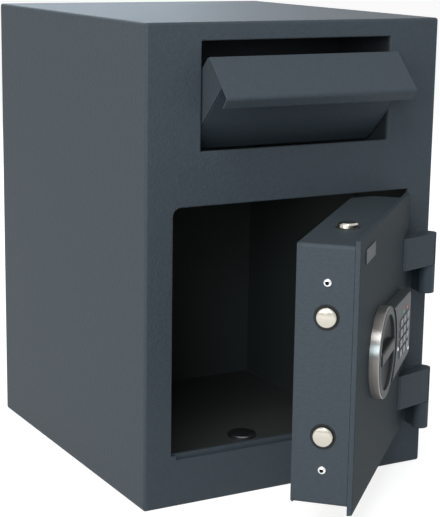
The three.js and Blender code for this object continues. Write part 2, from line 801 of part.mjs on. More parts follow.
// Rod of the top bolt: a strip behind the cam, forked for the cam's rear pin
function topBoltRod() {
  const front = doorFront + camFront + camThickness + 2 * fit;
  const back = front + rodThickness;
  const pin2X = -knobReach + camPinOffset;
  const pin2Z = lockZ - camPinOffset * Math.sin(half);
  const stripNear = pin2X - rodWidth / 2;
  const stripFar = pin2X + rodWidth / 2;
  const blockTop = topBoltFoot - fit;
  const blockFoot = blockTop - rodBlockHeight;
  const strip = box(stripNear, stripFar, front, back, pin2Z - rodFoot, blockTop);
  const blockNear = -topBoltReach - boltRadius;
  const shoulder = box(blockNear, stripFar, front, back, blockFoot - rodShoulderHeight, blockTop);
  const block = box(blockNear, -topBoltReach + boltRadius, doorFront + rodBlockFront, back,
    blockFoot, blockTop);
  const slotFar = -knobReach + camPinOffset + slotHalf;
  const slot = box(stripNear - overrun, slotFar, front - overrun, back + overrun,
    pin2Z - slotHalf, pin2Z + slotHalf);
  return cut(join(strip, shoulder, block), slot);
}

piece(door, 'top_bolt_rod', topBoltRod(), steel);

// Lock case behind the keypad, and the battery cover on the door's back
const caseFront = doorFront + doorPlateThickness + fit;
piece(door, 'lock_case', softBox(-lockCaseReach - lockCaseWidth, -lockCaseReach, caseFront,
  caseFront + lockCaseDepth, lockZ - lockCaseHeight / 2, lockZ + lockCaseHeight / 2,
  lockCaseEdge), greyPlastic);
piece(door, 'battery_cover', softBox(-batteryReach - batteryWidth, -batteryReach, doorBack + fit,
  doorBack + fit + batteryThickness, lockZ - batteryHeight / 2, lockZ + batteryHeight / 2,
  batteryEdge), blackPlastic);
const namePlateReach = plateFree - namePlateInset;
const namePlateZ = plateTop - namePlateDrop;
piece(door, 'name_plate', box(-namePlateReach - namePlateWidth / 2, -namePlateReach + namePlateWidth / 2,
  doorFront - fit - namePlateThickness, doorFront - fit,
  namePlateZ - namePlateHeight / 2, namePlateZ + namePlateHeight / 2), plateGrey);

// Lock: its own frame has the knob's axis along +Z, out of the door, and Y up
const lock = new THREE.Group();
lock.position.set(-knobReach, doorFront, lockZ);
lock.rotation.x = Math.PI / 2;
door.add(lock);

// Chrome ring with rounded shoulders, then the dished dial with its grip inside it
function knobRing() {
  const inner = knobRadius - knobRimWidth;
  const points = [[inner, fit], [knobRadius, fit], [knobRadius, knobHeight - knobEdge]];
  for (let i = 1; i <= filletSteps; i += 1) {
    const angle = i / filletSteps * Math.PI / 2;
    points.push([knobRadius - knobEdge + knobEdge * Math.cos(angle),
      knobHeight - knobEdge + knobEdge * Math.sin(angle)]);
  }
  points.push([inner + knobEdge, knobHeight], [inner, knobHeight - knobEdge], [inner, fit]);
  return turned(points, ringSides);
}

function knobDial() {
  const outer = knobRadius - knobRimWidth - fit;
  const rim = knobHeight - knobEdge * 2;
  const low = dialFloor - dialThickness;
  const dish = dialShares.map(([across, up]) => [outer * across, dialFloor + (rim - dialFloor) * up]);
  const bowl = turned([[0, low], [outer, low], [outer, rim], ...dish, [0, dialFloor]]);
  const gripEnd = outer - gripGap;
  const grip = softBox(-gripEnd, gripEnd, -gripWidth / 2, gripWidth / 2,
    low + dialThickness / 2, knobHeight, gripRound, filletSteps - 1);
  const socket = rodZ(0, 0, low - overrun, low + dialThickness / 2, spindleRadius + fit, smallSides);
  return cut(join(bowl, grip), socket);
}

piece(lock, 'knob_ring', knobRing(), chrome);
piece(lock, 'knob_dial', knobDial(), greyPlastic);

// Spindle with the cam disc; its front pin drives the carriage, its rear pin the rod
function spindle() {
  const low = -camFront - camThickness;
  const top = dialFloor - dialThickness / 2 - fit;
  const shaft = rodZ(0, 0, low, top, spindleRadius, smallSides);
  const disc = rodZ(0, 0, low, -camFront, camRadius);
  const rise = camPinOffset * Math.cos(half);
  const shift = camPinOffset * Math.sin(half);
  const frontPin = rodZ(shift, rise, -camFront - camThickness / 2, -armFront + fit, camPinRadius, smallSides);
  const rearPin = rodZ(rise, -shift, low - 2 * fit - rodThickness - fit, low + camThickness / 2,
    camPinRadius, smallSides);
  return join(shaft, disc, frontPin, rearPin);
}

piece(lock, 'spindle_cam', spindle(), steel);

// Keypad housing: a tongue that meets the knob ring, with a pocket for each key and lamp
const keyPlaces = [];
for (let row = 0; row < keyRows; row += 1) {
  for (let column = 0; column < keyColumns; column += 1) {
    keyPlaces.push([
      keyCentreX + (column - (keyColumns - 1) / 2) * keyPitchX,
      keyCentreZ - (row - (keyRows - 1) / 2) * keyPitchZ,
    ]);
  }
}
const keyBottom = knobHeight + keyProud - keyThickness;
const pocketFloor = keyBottom - keyTravel - run;
const lampFoot = knobHeight + lampProud - lampLength;
const studFoot = knobHeight + studProud - studLength;
const lampPlaces = [[lampCentreX - lampSpacing / 2, lampZ], [lampCentreX + lampSpacing / 2, lampZ]];

function padOutline() {
  const outline = new THREE.Shape();
  const r = padCornerRadius;
  outline.moveTo(padRootReach, -padRootHalf);
  outline.lineTo(padReach - r, -padEndHalf);
  outline.absarc(padReach - r, -padEndHalf + r, r, -Math.PI / 2, 0);
  outline.lineTo(padReach, padEndHalf - r);
  outline.absarc(padReach - r, padEndHalf - r, r, 0, Math.PI / 2);
  outline.lineTo(padRootReach, padRootHalf);
  return outline;
}

function padHousing() {
  const block = new THREE.ExtrudeGeometry(padOutline(), {
    depth: knobHeight - fit - padEdge, bevelThickness: padEdge, bevelSize: padEdge, bevelOffset: -padEdge,
    bevelSegments: padEdgeSteps, curveSegments: filletSteps * 2,
  });
  block.translate(0, 0, fit);
  const foot = box(0, padReach + overrun, -padRootHalf - overrun, padRootHalf + overrun, -overrun, fit);
  const tools = [foot, rodZ(0, 0, -overrun, knobHeight + overrun, padRadius, ringSides)];
  for (const [x, y] of keyPlaces) {
    const w = keyWidth / 2 + run;
    const h = keyHeight / 2 + run;
    tools.push(box(x - w, x + w, y - h, y + h, pocketFloor, knobHeight + overrun));
  }
  for (const [x, y] of lampPlaces) {
    tools.push(rodZ(x, y, lampFoot - fit, knobHeight + overrun, lampRadius + fit, smallSides));
  }
  tools.push(rodZ(studX, studZ, studFoot - fit, knobHeight + overrun, studRadius + fit, smallSides));
  return cut(block, ...tools);
}

piece(lock, 'keypad_housing', padHousing(), greyPlastic);

keyPlaces.forEach(([x, y], i) => {
  const key = softBox(-keyWidth / 2, keyWidth / 2, -keyHeight / 2, keyHeight / 2, 0, keyThickness, keyRound);
  piece(lock, `key_${i + 1}`, key, keyPlastic, [x, y, keyBottom]);
});

function lamp() {
  return turned([
    [0, 0], [lampRadius, 0], [lampRadius, lampLength - lampDome],
    [lampRadius * lampDomeShares[0], lampLength - lampDome * (1 - lampDomeShares[1])], [0, lampLength],
  ], smallSides);
}

piece(lock, 'lamp_green', lamp(), greenLens, [...lampPlaces[0], lampFoot]);
piece(lock, 'lamp_red', lamp(), redLens, [...lampPlaces[1], lampFoot]);
piece(lock, 'contact_stud', turned([
  [0, 0], [studRadius, 0], [studRadius, studLength - studProud / 2],
  [studRadius - studProud / 2, studLength], [0, studLength],
], smallSides), chrome, [studX, studZ, studFoot]);

export default assembly;
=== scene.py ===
# Drop safe with a deposit drawer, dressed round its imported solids: coats and plating, rounded sheet
# edges, turned knob and bolts, marked keys, screws, the closing spring, and a white studio stage.
# Everything is in metres with Z up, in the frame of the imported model.
import json
import math

import bmesh
import bpy
from bpy.props import FloatProperty, FloatVectorProperty, IntProperty, PointerProperty
from mathutils import Matrix, Vector
from mathutils.geometry import delaunay_2d_cdt

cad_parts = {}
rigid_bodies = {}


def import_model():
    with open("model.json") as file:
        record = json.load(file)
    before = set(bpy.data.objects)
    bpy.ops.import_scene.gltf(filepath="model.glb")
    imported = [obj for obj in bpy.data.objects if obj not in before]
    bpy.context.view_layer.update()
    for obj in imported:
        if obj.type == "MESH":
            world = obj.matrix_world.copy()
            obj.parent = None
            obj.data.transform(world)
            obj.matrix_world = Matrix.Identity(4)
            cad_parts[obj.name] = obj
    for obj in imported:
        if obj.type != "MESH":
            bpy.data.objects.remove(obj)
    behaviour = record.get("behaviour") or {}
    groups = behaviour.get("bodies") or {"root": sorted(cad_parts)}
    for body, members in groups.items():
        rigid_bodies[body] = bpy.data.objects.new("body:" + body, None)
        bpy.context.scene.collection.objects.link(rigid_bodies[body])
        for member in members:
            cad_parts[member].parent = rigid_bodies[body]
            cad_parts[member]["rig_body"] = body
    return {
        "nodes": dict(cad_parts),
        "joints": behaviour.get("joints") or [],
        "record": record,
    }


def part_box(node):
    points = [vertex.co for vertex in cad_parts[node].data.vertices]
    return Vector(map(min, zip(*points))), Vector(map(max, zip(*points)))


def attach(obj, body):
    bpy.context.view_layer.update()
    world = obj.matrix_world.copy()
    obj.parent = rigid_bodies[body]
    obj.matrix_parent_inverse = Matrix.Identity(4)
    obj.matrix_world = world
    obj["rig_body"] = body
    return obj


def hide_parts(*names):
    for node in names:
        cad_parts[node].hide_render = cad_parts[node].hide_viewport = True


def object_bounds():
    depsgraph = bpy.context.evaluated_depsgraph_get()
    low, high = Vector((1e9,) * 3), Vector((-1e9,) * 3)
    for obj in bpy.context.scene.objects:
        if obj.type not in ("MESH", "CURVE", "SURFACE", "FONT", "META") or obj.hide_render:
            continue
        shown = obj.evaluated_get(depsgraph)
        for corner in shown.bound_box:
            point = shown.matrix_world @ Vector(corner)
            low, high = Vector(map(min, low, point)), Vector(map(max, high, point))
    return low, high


bl_info = {
    "name": "Drop Safe Dresser",
    "version": (1, 0, 0),
    "blender": (4, 5, 0),
    "location": "View3D > Sidebar > Drop Safe",
    "description": "Finishes, fine pieces and a studio stage for a drop safe with a deposit drawer",
    "category": "Object",
}

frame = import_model()
packed_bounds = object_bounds()

NODES = frame["nodes"]
SLOTS = {part["node"]: part["material_slot"] for part in frame["record"]["subparts"]}
JOINTS = {joint["name"]: joint for joint in frame["joints"]}
KEY_MARKS = ("1", "2", "3", "4", "5", "6", "7", "8", "9", "C", "0", "E")
# UV map of the turned pieces
TURNING = "turning"
# Points nearer than this are one point, and faces that turn by less than this are one face
MERGE_DISTANCE = 1e-6
FLAT_ANGLE = math.radians(0.6)
# An edge that turns by more than this is rounded on a sheet part, and stays sharp on a turned piece
SHEET_CREASE = math.radians(40)
TURNED_CREASE = math.radians(35)
# How near its level a seam's points lie, and the share of the full rounding that its edges get
SEAM_TOLERANCE = 0.00005
SEAM_SHARE = 0.3
# The share by which a face's own fill may pass the face's area
FILL_TOLERANCE = 0.001
# A fill of triangles that keeps inside the outline, and the least distance that it tells apart
INSIDE_OUTLINE = 1
OUTLINE_TOLERANCE = 1e-9


# Places read from the frame

def middle(node):
    low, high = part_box(node)
    return (low + high) / 2


def height(node):
    low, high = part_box(node)
    return high.z - low.z


def span(node, direction):
    """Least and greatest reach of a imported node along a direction."""
    reaches = [vertex.co.dot(direction) for vertex in NODES[node].data.vertices]
    return min(reaches), max(reaches)


OUTWARD = Vector(JOINTS["knob_turn"]["axis"]).normalized()
UP = Vector((0, 0, 1))
BACKWARD = Vector((0, 1, 0))
ALONG = UP.cross(OUTWARD).normalized()
KNOB_CENTRE = Vector(JOINTS["knob_turn"]["pos_m"])
FREE_EDGE = Vector(JOINTS["side_bolt_slide"]["axis"]).normalized()
# A face looks along a direction where the cosine of the angle between them is above this
FACING = 0.9


def standing_frame(origin):
    """Matrix whose X runs along the door towards the hinges, Y up and Z out of the door's front."""
    turn = Matrix((ALONG, UP, OUTWARD)).transposed()
    return Matrix.Translation(origin) @ turn.to_4x4()


def door_place(along, level, out):
    """Vector from its reaches along the door, up and out of the door's front."""
    return ALONG * along + UP * level + OUTWARD * out


def moved_to(point, direction, level):
    """The point, moved along a direction until it lies at the level."""
    return point + direction * (level - point.dot(direction))


# Meshes

def new_piece(name, mesh):
    piece = bpy.data.objects.new(name, mesh)
    bpy.context.scene.collection.objects.link(piece)
    return piece


def mesh_from(shape, name):
    mesh = bpy.data.meshes.new(name)
    shape.to_mesh(mesh)
    shape.free()
    return mesh


def smooth(mesh, angle=TURNED_CREASE):
    mesh.shade_smooth()
    mesh.set_sharp_from_angle(angle=angle)
    return mesh


def turned_mesh(name, profile, segments):
    """Closed body turned about Z from a profile of (radius, height) that starts and ends on the axis
    or closes on itself. Its UV map runs along the profile, in metres, and round the axis, in turns."""
    shape = bmesh.new()
    turning = shape.loops.layers.uv.new(TURNING)
    rings = []
    for radius, level in profile:
        if radius == 0:
            rings.append([shape.verts.new((0, 0, level))])
            continue
        ring = []
        for step in range(segments):
            angle = math.tau * step / segments
            ring.append(shape.verts.new((radius * math.cos(angle), radius * math.sin(angle), level)))
        rings.append(ring)
    pairs = list(zip(rings, rings[1:]))
    lengths = [math.dist(here, there) for here, there in zip(profile, profile[1:])]
    if profile[0][0] > 0:
        pairs.append((rings[-1], rings[0]))
        lengths.append(math.dist(profile[-1], profile[0]))
    start = 0
    for (near, far), length in zip(pairs, lengths):
        end = start + length
        for step in range(segments):
            corners = [(near, step, start), (near, step + 1, start), (far, step + 1, end), (far, step, end)]
            if len(near) == 1:
                del corners[1]
            elif len(far) == 1:
                del corners[2]
            face = shape.faces.new([ring[place % len(ring)] for ring, place, _ in corners])
            for loop, (_, place, along) in zip(face.loops, corners):
                loop[turning].uv = (along, place / segments)
        start = end
    bmesh.ops.recalc_face_normals(shape, faces=shape.faces)
    return mesh_from(shape, name)


def worked_out(piece):
    """A plain mesh of the piece, with its modifiers or its letters worked out."""
    bpy.context.view_layer.update()
    graph = bpy.context.evaluated_depsgraph_get()
    return bpy.data.meshes.new_from_object(piece.evaluated_get(graph), depsgraph=graph)


def settle(piece):
    """The piece's modifiers become part of its mesh."""
    mesh = worked_out(piece)
    piece.modifiers.clear()
    old = piece.data
    piece.data = mesh
    if old.users == 0:
        bpy.data.meshes.remove(old)


def dress(piece, node):
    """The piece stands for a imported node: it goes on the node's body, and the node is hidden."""
    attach(piece, NODES[node]["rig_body"])
    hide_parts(node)


def close_seam(shape, sharpness, direction, level, shift):
    """The faces at a level move by a shift, which closes the fit gap to their neighbour, and their
    edges are rounded less than the others."""
    there = {vertex for vertex in shape.verts if abs(vertex.co.dot(direction) - level) < SEAM_TOLERANCE}
    for edge in shape.edges:
        if edge.verts[0] in there and edge.verts[1] in there and edge[sharpness] > 0:
            edge[sharpness] = SEAM_SHARE
    for vertex in there:
        vertex.co += direction * shift


def square_off(shape, direction, level, depth):
    """The rounding that runs back from a level over a depth becomes a square edge."""
    near = [vertex for vertex in shape.verts
            if abs(vertex.co.dot(direction) - level) < depth + SEAM_TOLERANCE]
    for axis in (ALONG, UP):
        reaches = [vertex.co.dot(axis) for vertex in shape.verts]
        for limit in (min(reaches), max(reaches)):
            for vertex in near:
                gap = limit - vertex.co.dot(axis)
                if abs(gap) < depth + SEAM_TOLERANCE:
                    vertex.co += axis * gap
    bmesh.ops.remove_doubles(shape, verts=shape.verts, dist=MERGE_DISTANCE)


def mend_faces(mesh):
    """A face with many corners whose own fill spills past its outline is split into triangles."""
    shape = bmesh.new()
    shape.from_mesh(mesh)
    filled = {}
    for first, second, third in shape.calc_loop_triangles():
        sides = second.vert.co - first.vert.co, third.vert.co - first.vert.co
        filled[first.face] = filled.get(first.face, 0) + sides[0].cross(sides[1]).length / 2
    for face, area in filled.items():
        if area < face.calc_area() * (1 + FILL_TOLERANCE):
            continue
        across = face.normal.orthogonal().normalized()
        up = face.normal.cross(across)
        depth = face.verts[0].co.dot(face.normal)
        corners = list(face.verts)
        flat = [Vector((corner.co.dot(across), corner.co.dot(up))) for corner in corners]
        outline = list(range(len(flat)))
        points, _, triangles, sources, _, _ = delaunay_2d_cdt(
            flat, [], [outline], INSIDE_OUTLINE, OUTLINE_TOLERANCE)
        corners = [corners[source[0]] if source
                   else shape.verts.new(across * point.x + up * point.y + face.normal * depth)
                   for point, source in zip(points, sources)]
        for triangle in triangles:
            ends = [corners[place] for place in triangle]
            if shape.faces.get(ends) is None:
                shape.faces.new(ends, face)
        shape.faces.remove(face)
    shape.to_mesh(mesh)
    shape.free()


def rounded_copy(node, radius, segments, materials=(), seams=(), squared=0):
    """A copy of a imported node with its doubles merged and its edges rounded, which stands for it.
    It has the finish of the node's slot where no materials are given. Each seam is the direction,
    level and shift of a face that meets a neighbour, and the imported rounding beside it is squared
    off over the given depth."""
    shape = bmesh.new()
    shape.from_mesh(NODES[node].data)
    bmesh.ops.remove_doubles(shape, verts=shape.verts, dist=MERGE_DISTANCE)
    if squared:
        for direction, level, _ in seams:
            square_off(shape, direction, level, squared)
    bmesh.ops.dissolve_limit(shape, angle_limit=FLAT_ANGLE, verts=shape.verts, edges=shape.edges)
    sharpness = shape.edges.layers.float.new("bevel_weight_edge")
    for edge in shape.edges:
        edge[sharpness] = 1.0 if edge.calc_face_angle(0) > SHEET_CREASE else 0.0
    for seam in seams:
        close_seam(shape, sharpness, *seam)
    mesh = mesh_from(shape, node + "_rounded")
    mesh.materials.clear()
    for material in materials or [finishes[SLOTS[node]]]:
        mesh.materials.append(material)
    piece = new_piece(node + "_rounded", mesh)
    smooth(mesh, SHEET_CREASE)
    bevel = piece.modifiers.new("Rounded edges", "BEVEL")
    bevel.width = radius
    bevel.segments = segments
    bevel.limit_method = "WEIGHT"
    bevel.miter_outer = "MITER_ARC"
    settle(piece)
    mend_faces(piece.data)
    weight = piece.modifiers.new("Flat faces", "WEIGHTED_NORMAL")
    weight.keep_sharp = True
    settle(piece)
    dress(piece, node)
    return piece


# Finishes

# The values between which most of a noise lies
NOISE_RANGE = (0.3, 0.7)
# Size of the specks of shade in the coat, and of the matt coat's peel, against the coat's own peel
SPECK_RATIO = 1.6
MATT_PEEL_RATIO = 2
# Faint clouds in a plating: their size, their detail, and what they make of its roughness
CLOUD_SIZE = 0.004
CLOUD_DETAIL = 4
CLOUD_SHARES = (0.8, 1.3)
# Marks of the lathe: how many go in a metre of the profile and in a turn, and what they make of the
# roughness
LATHE_MARKS = (6000, 3, 1)
LATHE_SHARES = (0.85, 1.15)
# Grain of moulded plastic: its size, its detail, and its depth as a share of its size
GRAIN_SIZE = 0.0004
GRAIN_DETAIL = 1
GRAIN_DEPTH_SHARE = 0.02
# Light that a lamp's lens gives off
LENS_GLOW = 0.25

finishes = {}


def linear(colour):
    """Linear values of a colour that is given as a screen shows it."""
    return [c / 12.92 if c <= 0.04045 else ((c + 0.055) / 1.055) ** 2.4 for c in colour]


def shade(colour, factor):
    return [min(1, c * factor) for c in colour]


def parts_of(material):
    """The material's nodes, its links and its shader."""
    nodes = material.node_tree.nodes
    return nodes, material.node_tree.links, nodes["Principled BSDF"]


def finish(name, colour, roughness, metallic=0.0, specular=0.5):
    material = bpy.data.materials.new(name)
    material.use_nodes = True
    _, _, shader = parts_of(material)
    shader.inputs["Base Color"].default_value = (*linear(colour), 1)
    shader.inputs["Roughness"].default_value = roughness
    shader.inputs["Metallic"].default_value = metallic
    shader.inputs["Specular IOR Level"].default_value = specular
    return material


def add_noise(material, size, detail=2):
    """A noise pattern on object coordinates whose cells are about the given size."""
    nodes, links, _ = parts_of(material)
    place = nodes.new("ShaderNodeTexCoord")
    noise = nodes.new("ShaderNodeTexNoise")
    noise.inputs["Scale"].default_value = 1 / size
    noise.inputs["Detail"].default_value = detail
    links.new(place.outputs["Object"], noise.inputs["Vector"])
    return noise


def add_relief(material, noise, depth):
    """The noise stands out of the surface by up to the depth."""
    nodes, links, shader = parts_of(material)
    bump = nodes.new("ShaderNodeBump")
    bump.inputs["Distance"].default_value = depth
    bump.inputs["Strength"].default_value = 1
    links.new(noise.outputs["Fac"], bump.inputs["Height"])
    links.new(bump.outputs["Normal"], shader.inputs["Normal"])


def vary_roughness(material, noise, roughness, shares):
    """The noise moves the roughness between two shares of its value."""
    nodes, links, shader = parts_of(material)
    ramp = nodes.new("ShaderNodeMapRange")
    limits = (*NOISE_RANGE, roughness * shares[0], roughness * shares[1])
    for socket, limit in zip(("From Min", "From Max", "To Min", "To Max"), limits):
        ramp.inputs[socket].default_value = limit
    links.new(noise.outputs["Fac"], ramp.inputs["Value"])
    links.new(ramp.outputs["Result"], shader.inputs["Roughness"])


def vary_colour(material, noise, dark, light):
    """The noise moves the base colour between two near shades."""
    nodes, links, shader = parts_of(material)
    ramp = nodes.new("ShaderNodeValToRGB")
    for stop, position, colour in zip(ramp.color_ramp.elements, NOISE_RANGE, (dark, light)):
        stop.position = position
        stop.color = (*linear(colour), 1)
    links.new(noise.outputs["Fac"], ramp.inputs["Fac"])
    links.new(ramp.outputs["Color"], shader.inputs["Base Color"])


def powder_coat(name, colour, roughness, specular, settings):
    """Coat with a fine orange peel."""
    material = finish(name, colour, roughness, specular=specular)
    add_relief(material, add_noise(material, settings.peel_size), settings.peel_depth)
    speck = add_noise(material, settings.peel_size * SPECK_RATIO)
    vary_colour(material, speck, shade(colour, 1 - settings.speck), shade(colour, 1 + settings.speck))
    return material


def matt_coat(name, colour, roughness, specular, settings):
    """Thin matt coat inside the casing and on the inner sheet parts."""
    material = finish(name, colour, roughness, specular=specular)
    add_relief(material, add_noise(material, settings.peel_size * MATT_PEEL_RATIO), settings.peel_depth)
    return material


def plated(name, colour, roughness):
    """Bright metal whose gloss varies in faint clouds."""
    material = finish(name, colour, roughness, metallic=1.0)
    vary_roughness(material, add_noise(material, CLOUD_SIZE, CLOUD_DETAIL), roughness, CLOUD_SHARES)
    return material


def turned_metal(name, colour, roughness, grain):
    """Metal with fine marks of the lathe, which run round the axis."""
    material = finish(name, colour, roughness, metallic=1.0)
    nodes, links, shader = parts_of(material)
    shader.inputs["Anisotropic"].default_value = grain
    along = nodes.new("ShaderNodeTangent")
    along.direction_type = "UV_MAP"
    along.uv_map = TURNING
    links.new(along.outputs["Tangent"], shader.inputs["Tangent"])
    place = nodes.new("ShaderNodeUVMap")
    place.uv_map = TURNING
    stretch = nodes.new("ShaderNodeMapping")
    stretch.inputs["Scale"].default_value = LATHE_MARKS
    marks = nodes.new("ShaderNodeTexNoise")
    marks.inputs["Scale"].default_value = 1
    links.new(place.outputs["UV"], stretch.inputs["Vector"])
    links.new(stretch.outputs["Vector"], marks.inputs["Vector"])
    vary_roughness(material, marks, roughness, LATHE_SHARES)
    return material


def plastic(name, colour, roughness, specular):
    """Moulded plastic, rubber or print with a fine grain."""
    material = finish(name, colour, roughness, specular=specular)
    add_relief(material, add_noise(material, GRAIN_SIZE, GRAIN_DETAIL), GRAIN_SIZE * GRAIN_DEPTH_SHARE)
    return material


def lens(name, colour, roughness, specular):
    """Coloured plastic that gives off a little light."""
    material = plastic(name, colour, roughness, specular)
    _, _, shader = parts_of(material)
    shader.inputs["Emission Color"].default_value = (*linear(colour), 1)
    shader.inputs["Emission Strength"].default_value = LENS_GLOW
    return material


def make_finishes(settings):
    """Each row holds the function that makes a finish, its colour and its roughness. The specular
    level follows, or the grain of turned metal, and then the settings that hold a coat's peel."""
    lock_specular = settings.lock_specular
    coat = (settings.coat_roughness, settings.coat_specular, settings)
    # The door's coat is painted shade: a darker copy of the powder coat with little gloss, for the door's
    # front and top faces
    door = (settings.coat_roughness, settings.door_shaded_specular, settings)
    rows = {
        "powder_coat": (powder_coat, settings.coat_colour, *coat),
        "door_coat": (powder_coat, settings.door_shaded_colour, *door),
        "inside_coat": (matt_coat, settings.inside_colour, 0.7, 0.3, settings),
        "dark_paint": (matt_coat, settings.dark_paint_colour, 0.6, 0.3, settings),
        "steel": (plated, settings.steel_colour, 0.35),
        "bolt_nickel": (plated, settings.bolt_colour, 0.16),
        "chrome": (plated, settings.chrome_colour, 0.07),
        "turned_chrome": (turned_metal, settings.ring_colour, settings.ring_roughness, settings.ring_grain),
        "socket_black": (plastic, settings.black_colour, 0.8, 0.1),
        "black_plastic": (plastic, settings.black_colour, 0.5, 0.3),
        "grey_plastic": (plastic, settings.lock_colour, 0.38, lock_specular),
        "dial_plastic": (plastic, settings.dial_colour, 0.3, 0.02),
        "key_plastic": (plastic, settings.key_colour, 0.25, lock_specular),
        "plate_grey": (plastic, settings.plate_colour, 0.4, 0.06),
        "green_lens": (lens, settings.green_colour, 0.15, 0.45),
        "red_lens": (lens, settings.red_colour, 0.15, 0.45),
        "rubber": (plastic, settings.rubber_colour, 0.85, 0.3),
        "key_mark": (plastic, settings.mark_colour, 0.5, 0.45),
    }
    finishes.clear()
    for name, (make, *values) in rows.items():
        finishes[name] = make(name, *values)


def colour_property(name, default, description):
    return FloatVectorProperty(
        name=name, description=description, default=default, size=3, min=0, max=1, subtype="COLOR_GAMMA")


def length_property(name, default, description):
    return FloatProperty(
        name=name, description=description, default=default, min=0, unit="LENGTH", precision=5)


def count_property(name, default, description, least, most):
    return IntProperty(name=name, description=description, default=default, min=least, max=most)


def share_property(name, default, description):
    return FloatProperty(
        name=name, description=description, default=default, min=0, max=1, subtype="FACTOR")


class DropSafeFinishSettings(bpy.types.PropertyGroup):
    coat_colour: colour_property("Coat", (0.229, 0.262, 0.291), "Powder coat outside")
    coat_roughness: share_property("Coat roughness", 0.58, "Roughness of the powder coat")
    coat_specular: share_property("Coat gloss", 0.22, "Specular level of the powder coat")
    # Painted shade: a darker, nearly glossless copy of the coat that goes on the door's front and top faces
    door_shaded_colour: colour_property("Door front", (0.226, 0.255, 0.276), "Powder coat of the door's front")
    door_shaded_specular: share_property("Door gloss", 0.025, "Specular level of the coat on the door's front")
    speck: share_property("Speck", 0.025, "Share by which the coat's shade varies")
    peel_size: length_property("Peel size", 0.0026, "Size of the orange peel's cells")
    peel_depth: length_property("Peel depth", 0.00055, "Depth of the orange peel")
    inside_colour: colour_property("Inside", (0.25, 0.26, 0.25), "Coat inside the casing")
    dark_paint_colour: colour_property("Dark paint", (0.14, 0.155, 0.17), "Paint on the inner sheet parts")
    steel_colour: colour_property("Steel", (0.56, 0.57, 0.58), "Zinc-plated steel")
    bolt_colour: colour_property("Bolts", (0.76, 0.74, 0.70), "Plating of the bolts")
    chrome_colour: colour_property("Chrome", (0.88, 0.89, 0.90), "Plating of the edge screws and the studs")
    ring_colour: colour_property("Ring", (0.57, 0.56, 0.55), "Turned metal of the knob's ring")
    ring_roughness: share_property("Ring roughness", 0.3, "Roughness of the knob's ring")
    ring_grain: share_property("Ring grain", 0.6, "How far the turning marks draw the shine out")
    black_colour: colour_property("Black plastic", (0.09, 0.095, 0.10), "Bushes and battery cover")
    lock_colour: colour_property("Lock", (0.25, 0.268, 0.276), "Keypad housing and the ring's front")
    dial_colour: colour_property("Dial", (0.2, 0.216, 0.22), "Dished dial inside the knob's ring")
    lock_specular: share_property("Lock gloss", 0.045, "Specular level of the lock's plastic")
    key_colour: colour_property("Keys", (0.36, 0.38, 0.42), "Key caps")
    mark_colour: colour_property("Key marks", (0.78, 0.80, 0.82), "Digits and letters on the keys")
    plate_colour: colour_property("Plate", (0.31, 0.33, 0.345), "Bare plate on the door")
    green_colour: colour_property("Green lamp", (0.12, 0.62, 0.30), "Lens of the green lamp")
    red_colour: colour_property("Red lamp", (0.75, 0.12, 0.15), "Lens of the red lamp")
    rubber_colour: colour_property("Rubber", (0.07, 0.07, 0.07), "Bumpers")


class DROPSAFE_OT_finishes(bpy.types.Operator):
    """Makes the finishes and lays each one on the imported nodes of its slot"""
    bl_idname = "dropsafe.finishes"
    bl_label = "Lay the finishes"

    def execute(self, context):
        make_finishes(context.scene.dropsafe_finishes)
        for name, node in NODES.items():
            node.data.materials.clear()
            node.data.materials.append(finishes[SLOTS[name]])
        return {"FINISHED"}


# Sheet metal with rounded edges

# How deep in the casing a face lies at least to be an inner one
INSIDE_MARGIN = 0.003
# Share of the lock's edge radius on its small parts and on the door's thin covers
SMALL_EDGE_SHARE = 1 / 2


class DropSafeEdgeSettings(bpy.types.PropertyGroup):
    casing: length_property("Casing", 0.0013, "Edge radius of the openings and outer edges of the casing")
    door: length_property("Door", 0.0011, "Edge radius of the door's parts")
    plate_rounding: length_property(
        "Plate rounding", 0.0012, "Rounding squared off where the door's parts meet")
    drawer: length_property("Drawer", 0.0006, "Edge radius of the deposit drawer's sheet")
    hinge: length_property("Hinges", 0.0007, "Edge radius of the knuckles and gussets")
    lock: length_property("Lock", 0.0004, "Edge radius of the lock's mouldings")
    segments: count_property("Segments", 3, "Steps of a rounded edge", 1, 8)


def paint_shade_on_front_and_top(piece):
    """Painted shade: the second material, a darker copy of the coat with little gloss, goes on the faces
    that look out of the door's front or up.
    """
    for face in piece.data.polygons:
        if max(face.normal.dot(OUTWARD), face.normal.dot(UP)) > FACING:
            face.material_index = 1


def coat_inside(piece):
    """The second material goes on the casing's inner faces."""
    low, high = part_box("body_shell")
    for face in piece.data.polygons:
        x, y, z = face.center
        if (low.x + INSIDE_MARGIN < x < high.x - INSIDE_MARGIN
                and low.z + INSIDE_MARGIN < z < high.z - INSIDE_MARGIN
                and y > low.y + INSIDE_MARGIN):
            face.material_index = 1


class DROPSAFE_OT_casing(bpy.types.Operator):
    """Rounds the edges of the casing, its back and its sill, with a matt coat inside"""
    bl_idname = "dropsafe.casing"
    bl_label = "Round the casing"

    def execute(self, context):
        edges = context.scene.dropsafe_edges
        coats = [finishes["powder_coat"], finishes["inside_coat"]]
        rim = (BACKWARD, span("body_shell", BACKWARD)[1], 0.0)
        coat_inside(rounded_copy("body_shell", edges.casing, edges.segments, coats, seams=[rim]))
        rounded_copy("sill_bar", edges.drawer, edges.segments)
        back = rounded_copy("back_panel", edges.drawer, edges.segments, coats)
        for face in back.data.polygons:
            if face.normal.dot(BACKWARD) < -FACING:
                face.material_index = 1
        return {"FINISHED"}


class DROPSAFE_OT_drawer(bpy.types.Operator):
    """Rounds the sheet edges of the deposit drawer"""
    bl_idname = "dropsafe.drawer"
    bl_label = "Round the deposit drawer"

    def execute(self, context):
        edges = context.scene.dropsafe_edges
        for node in ("drawer_plate", "drawer_floor", "drawer_cheek_left", "drawer_cheek_right"):
            rounded_copy(node, edges.drawer, edges.segments)
        return {"FINISHED"}


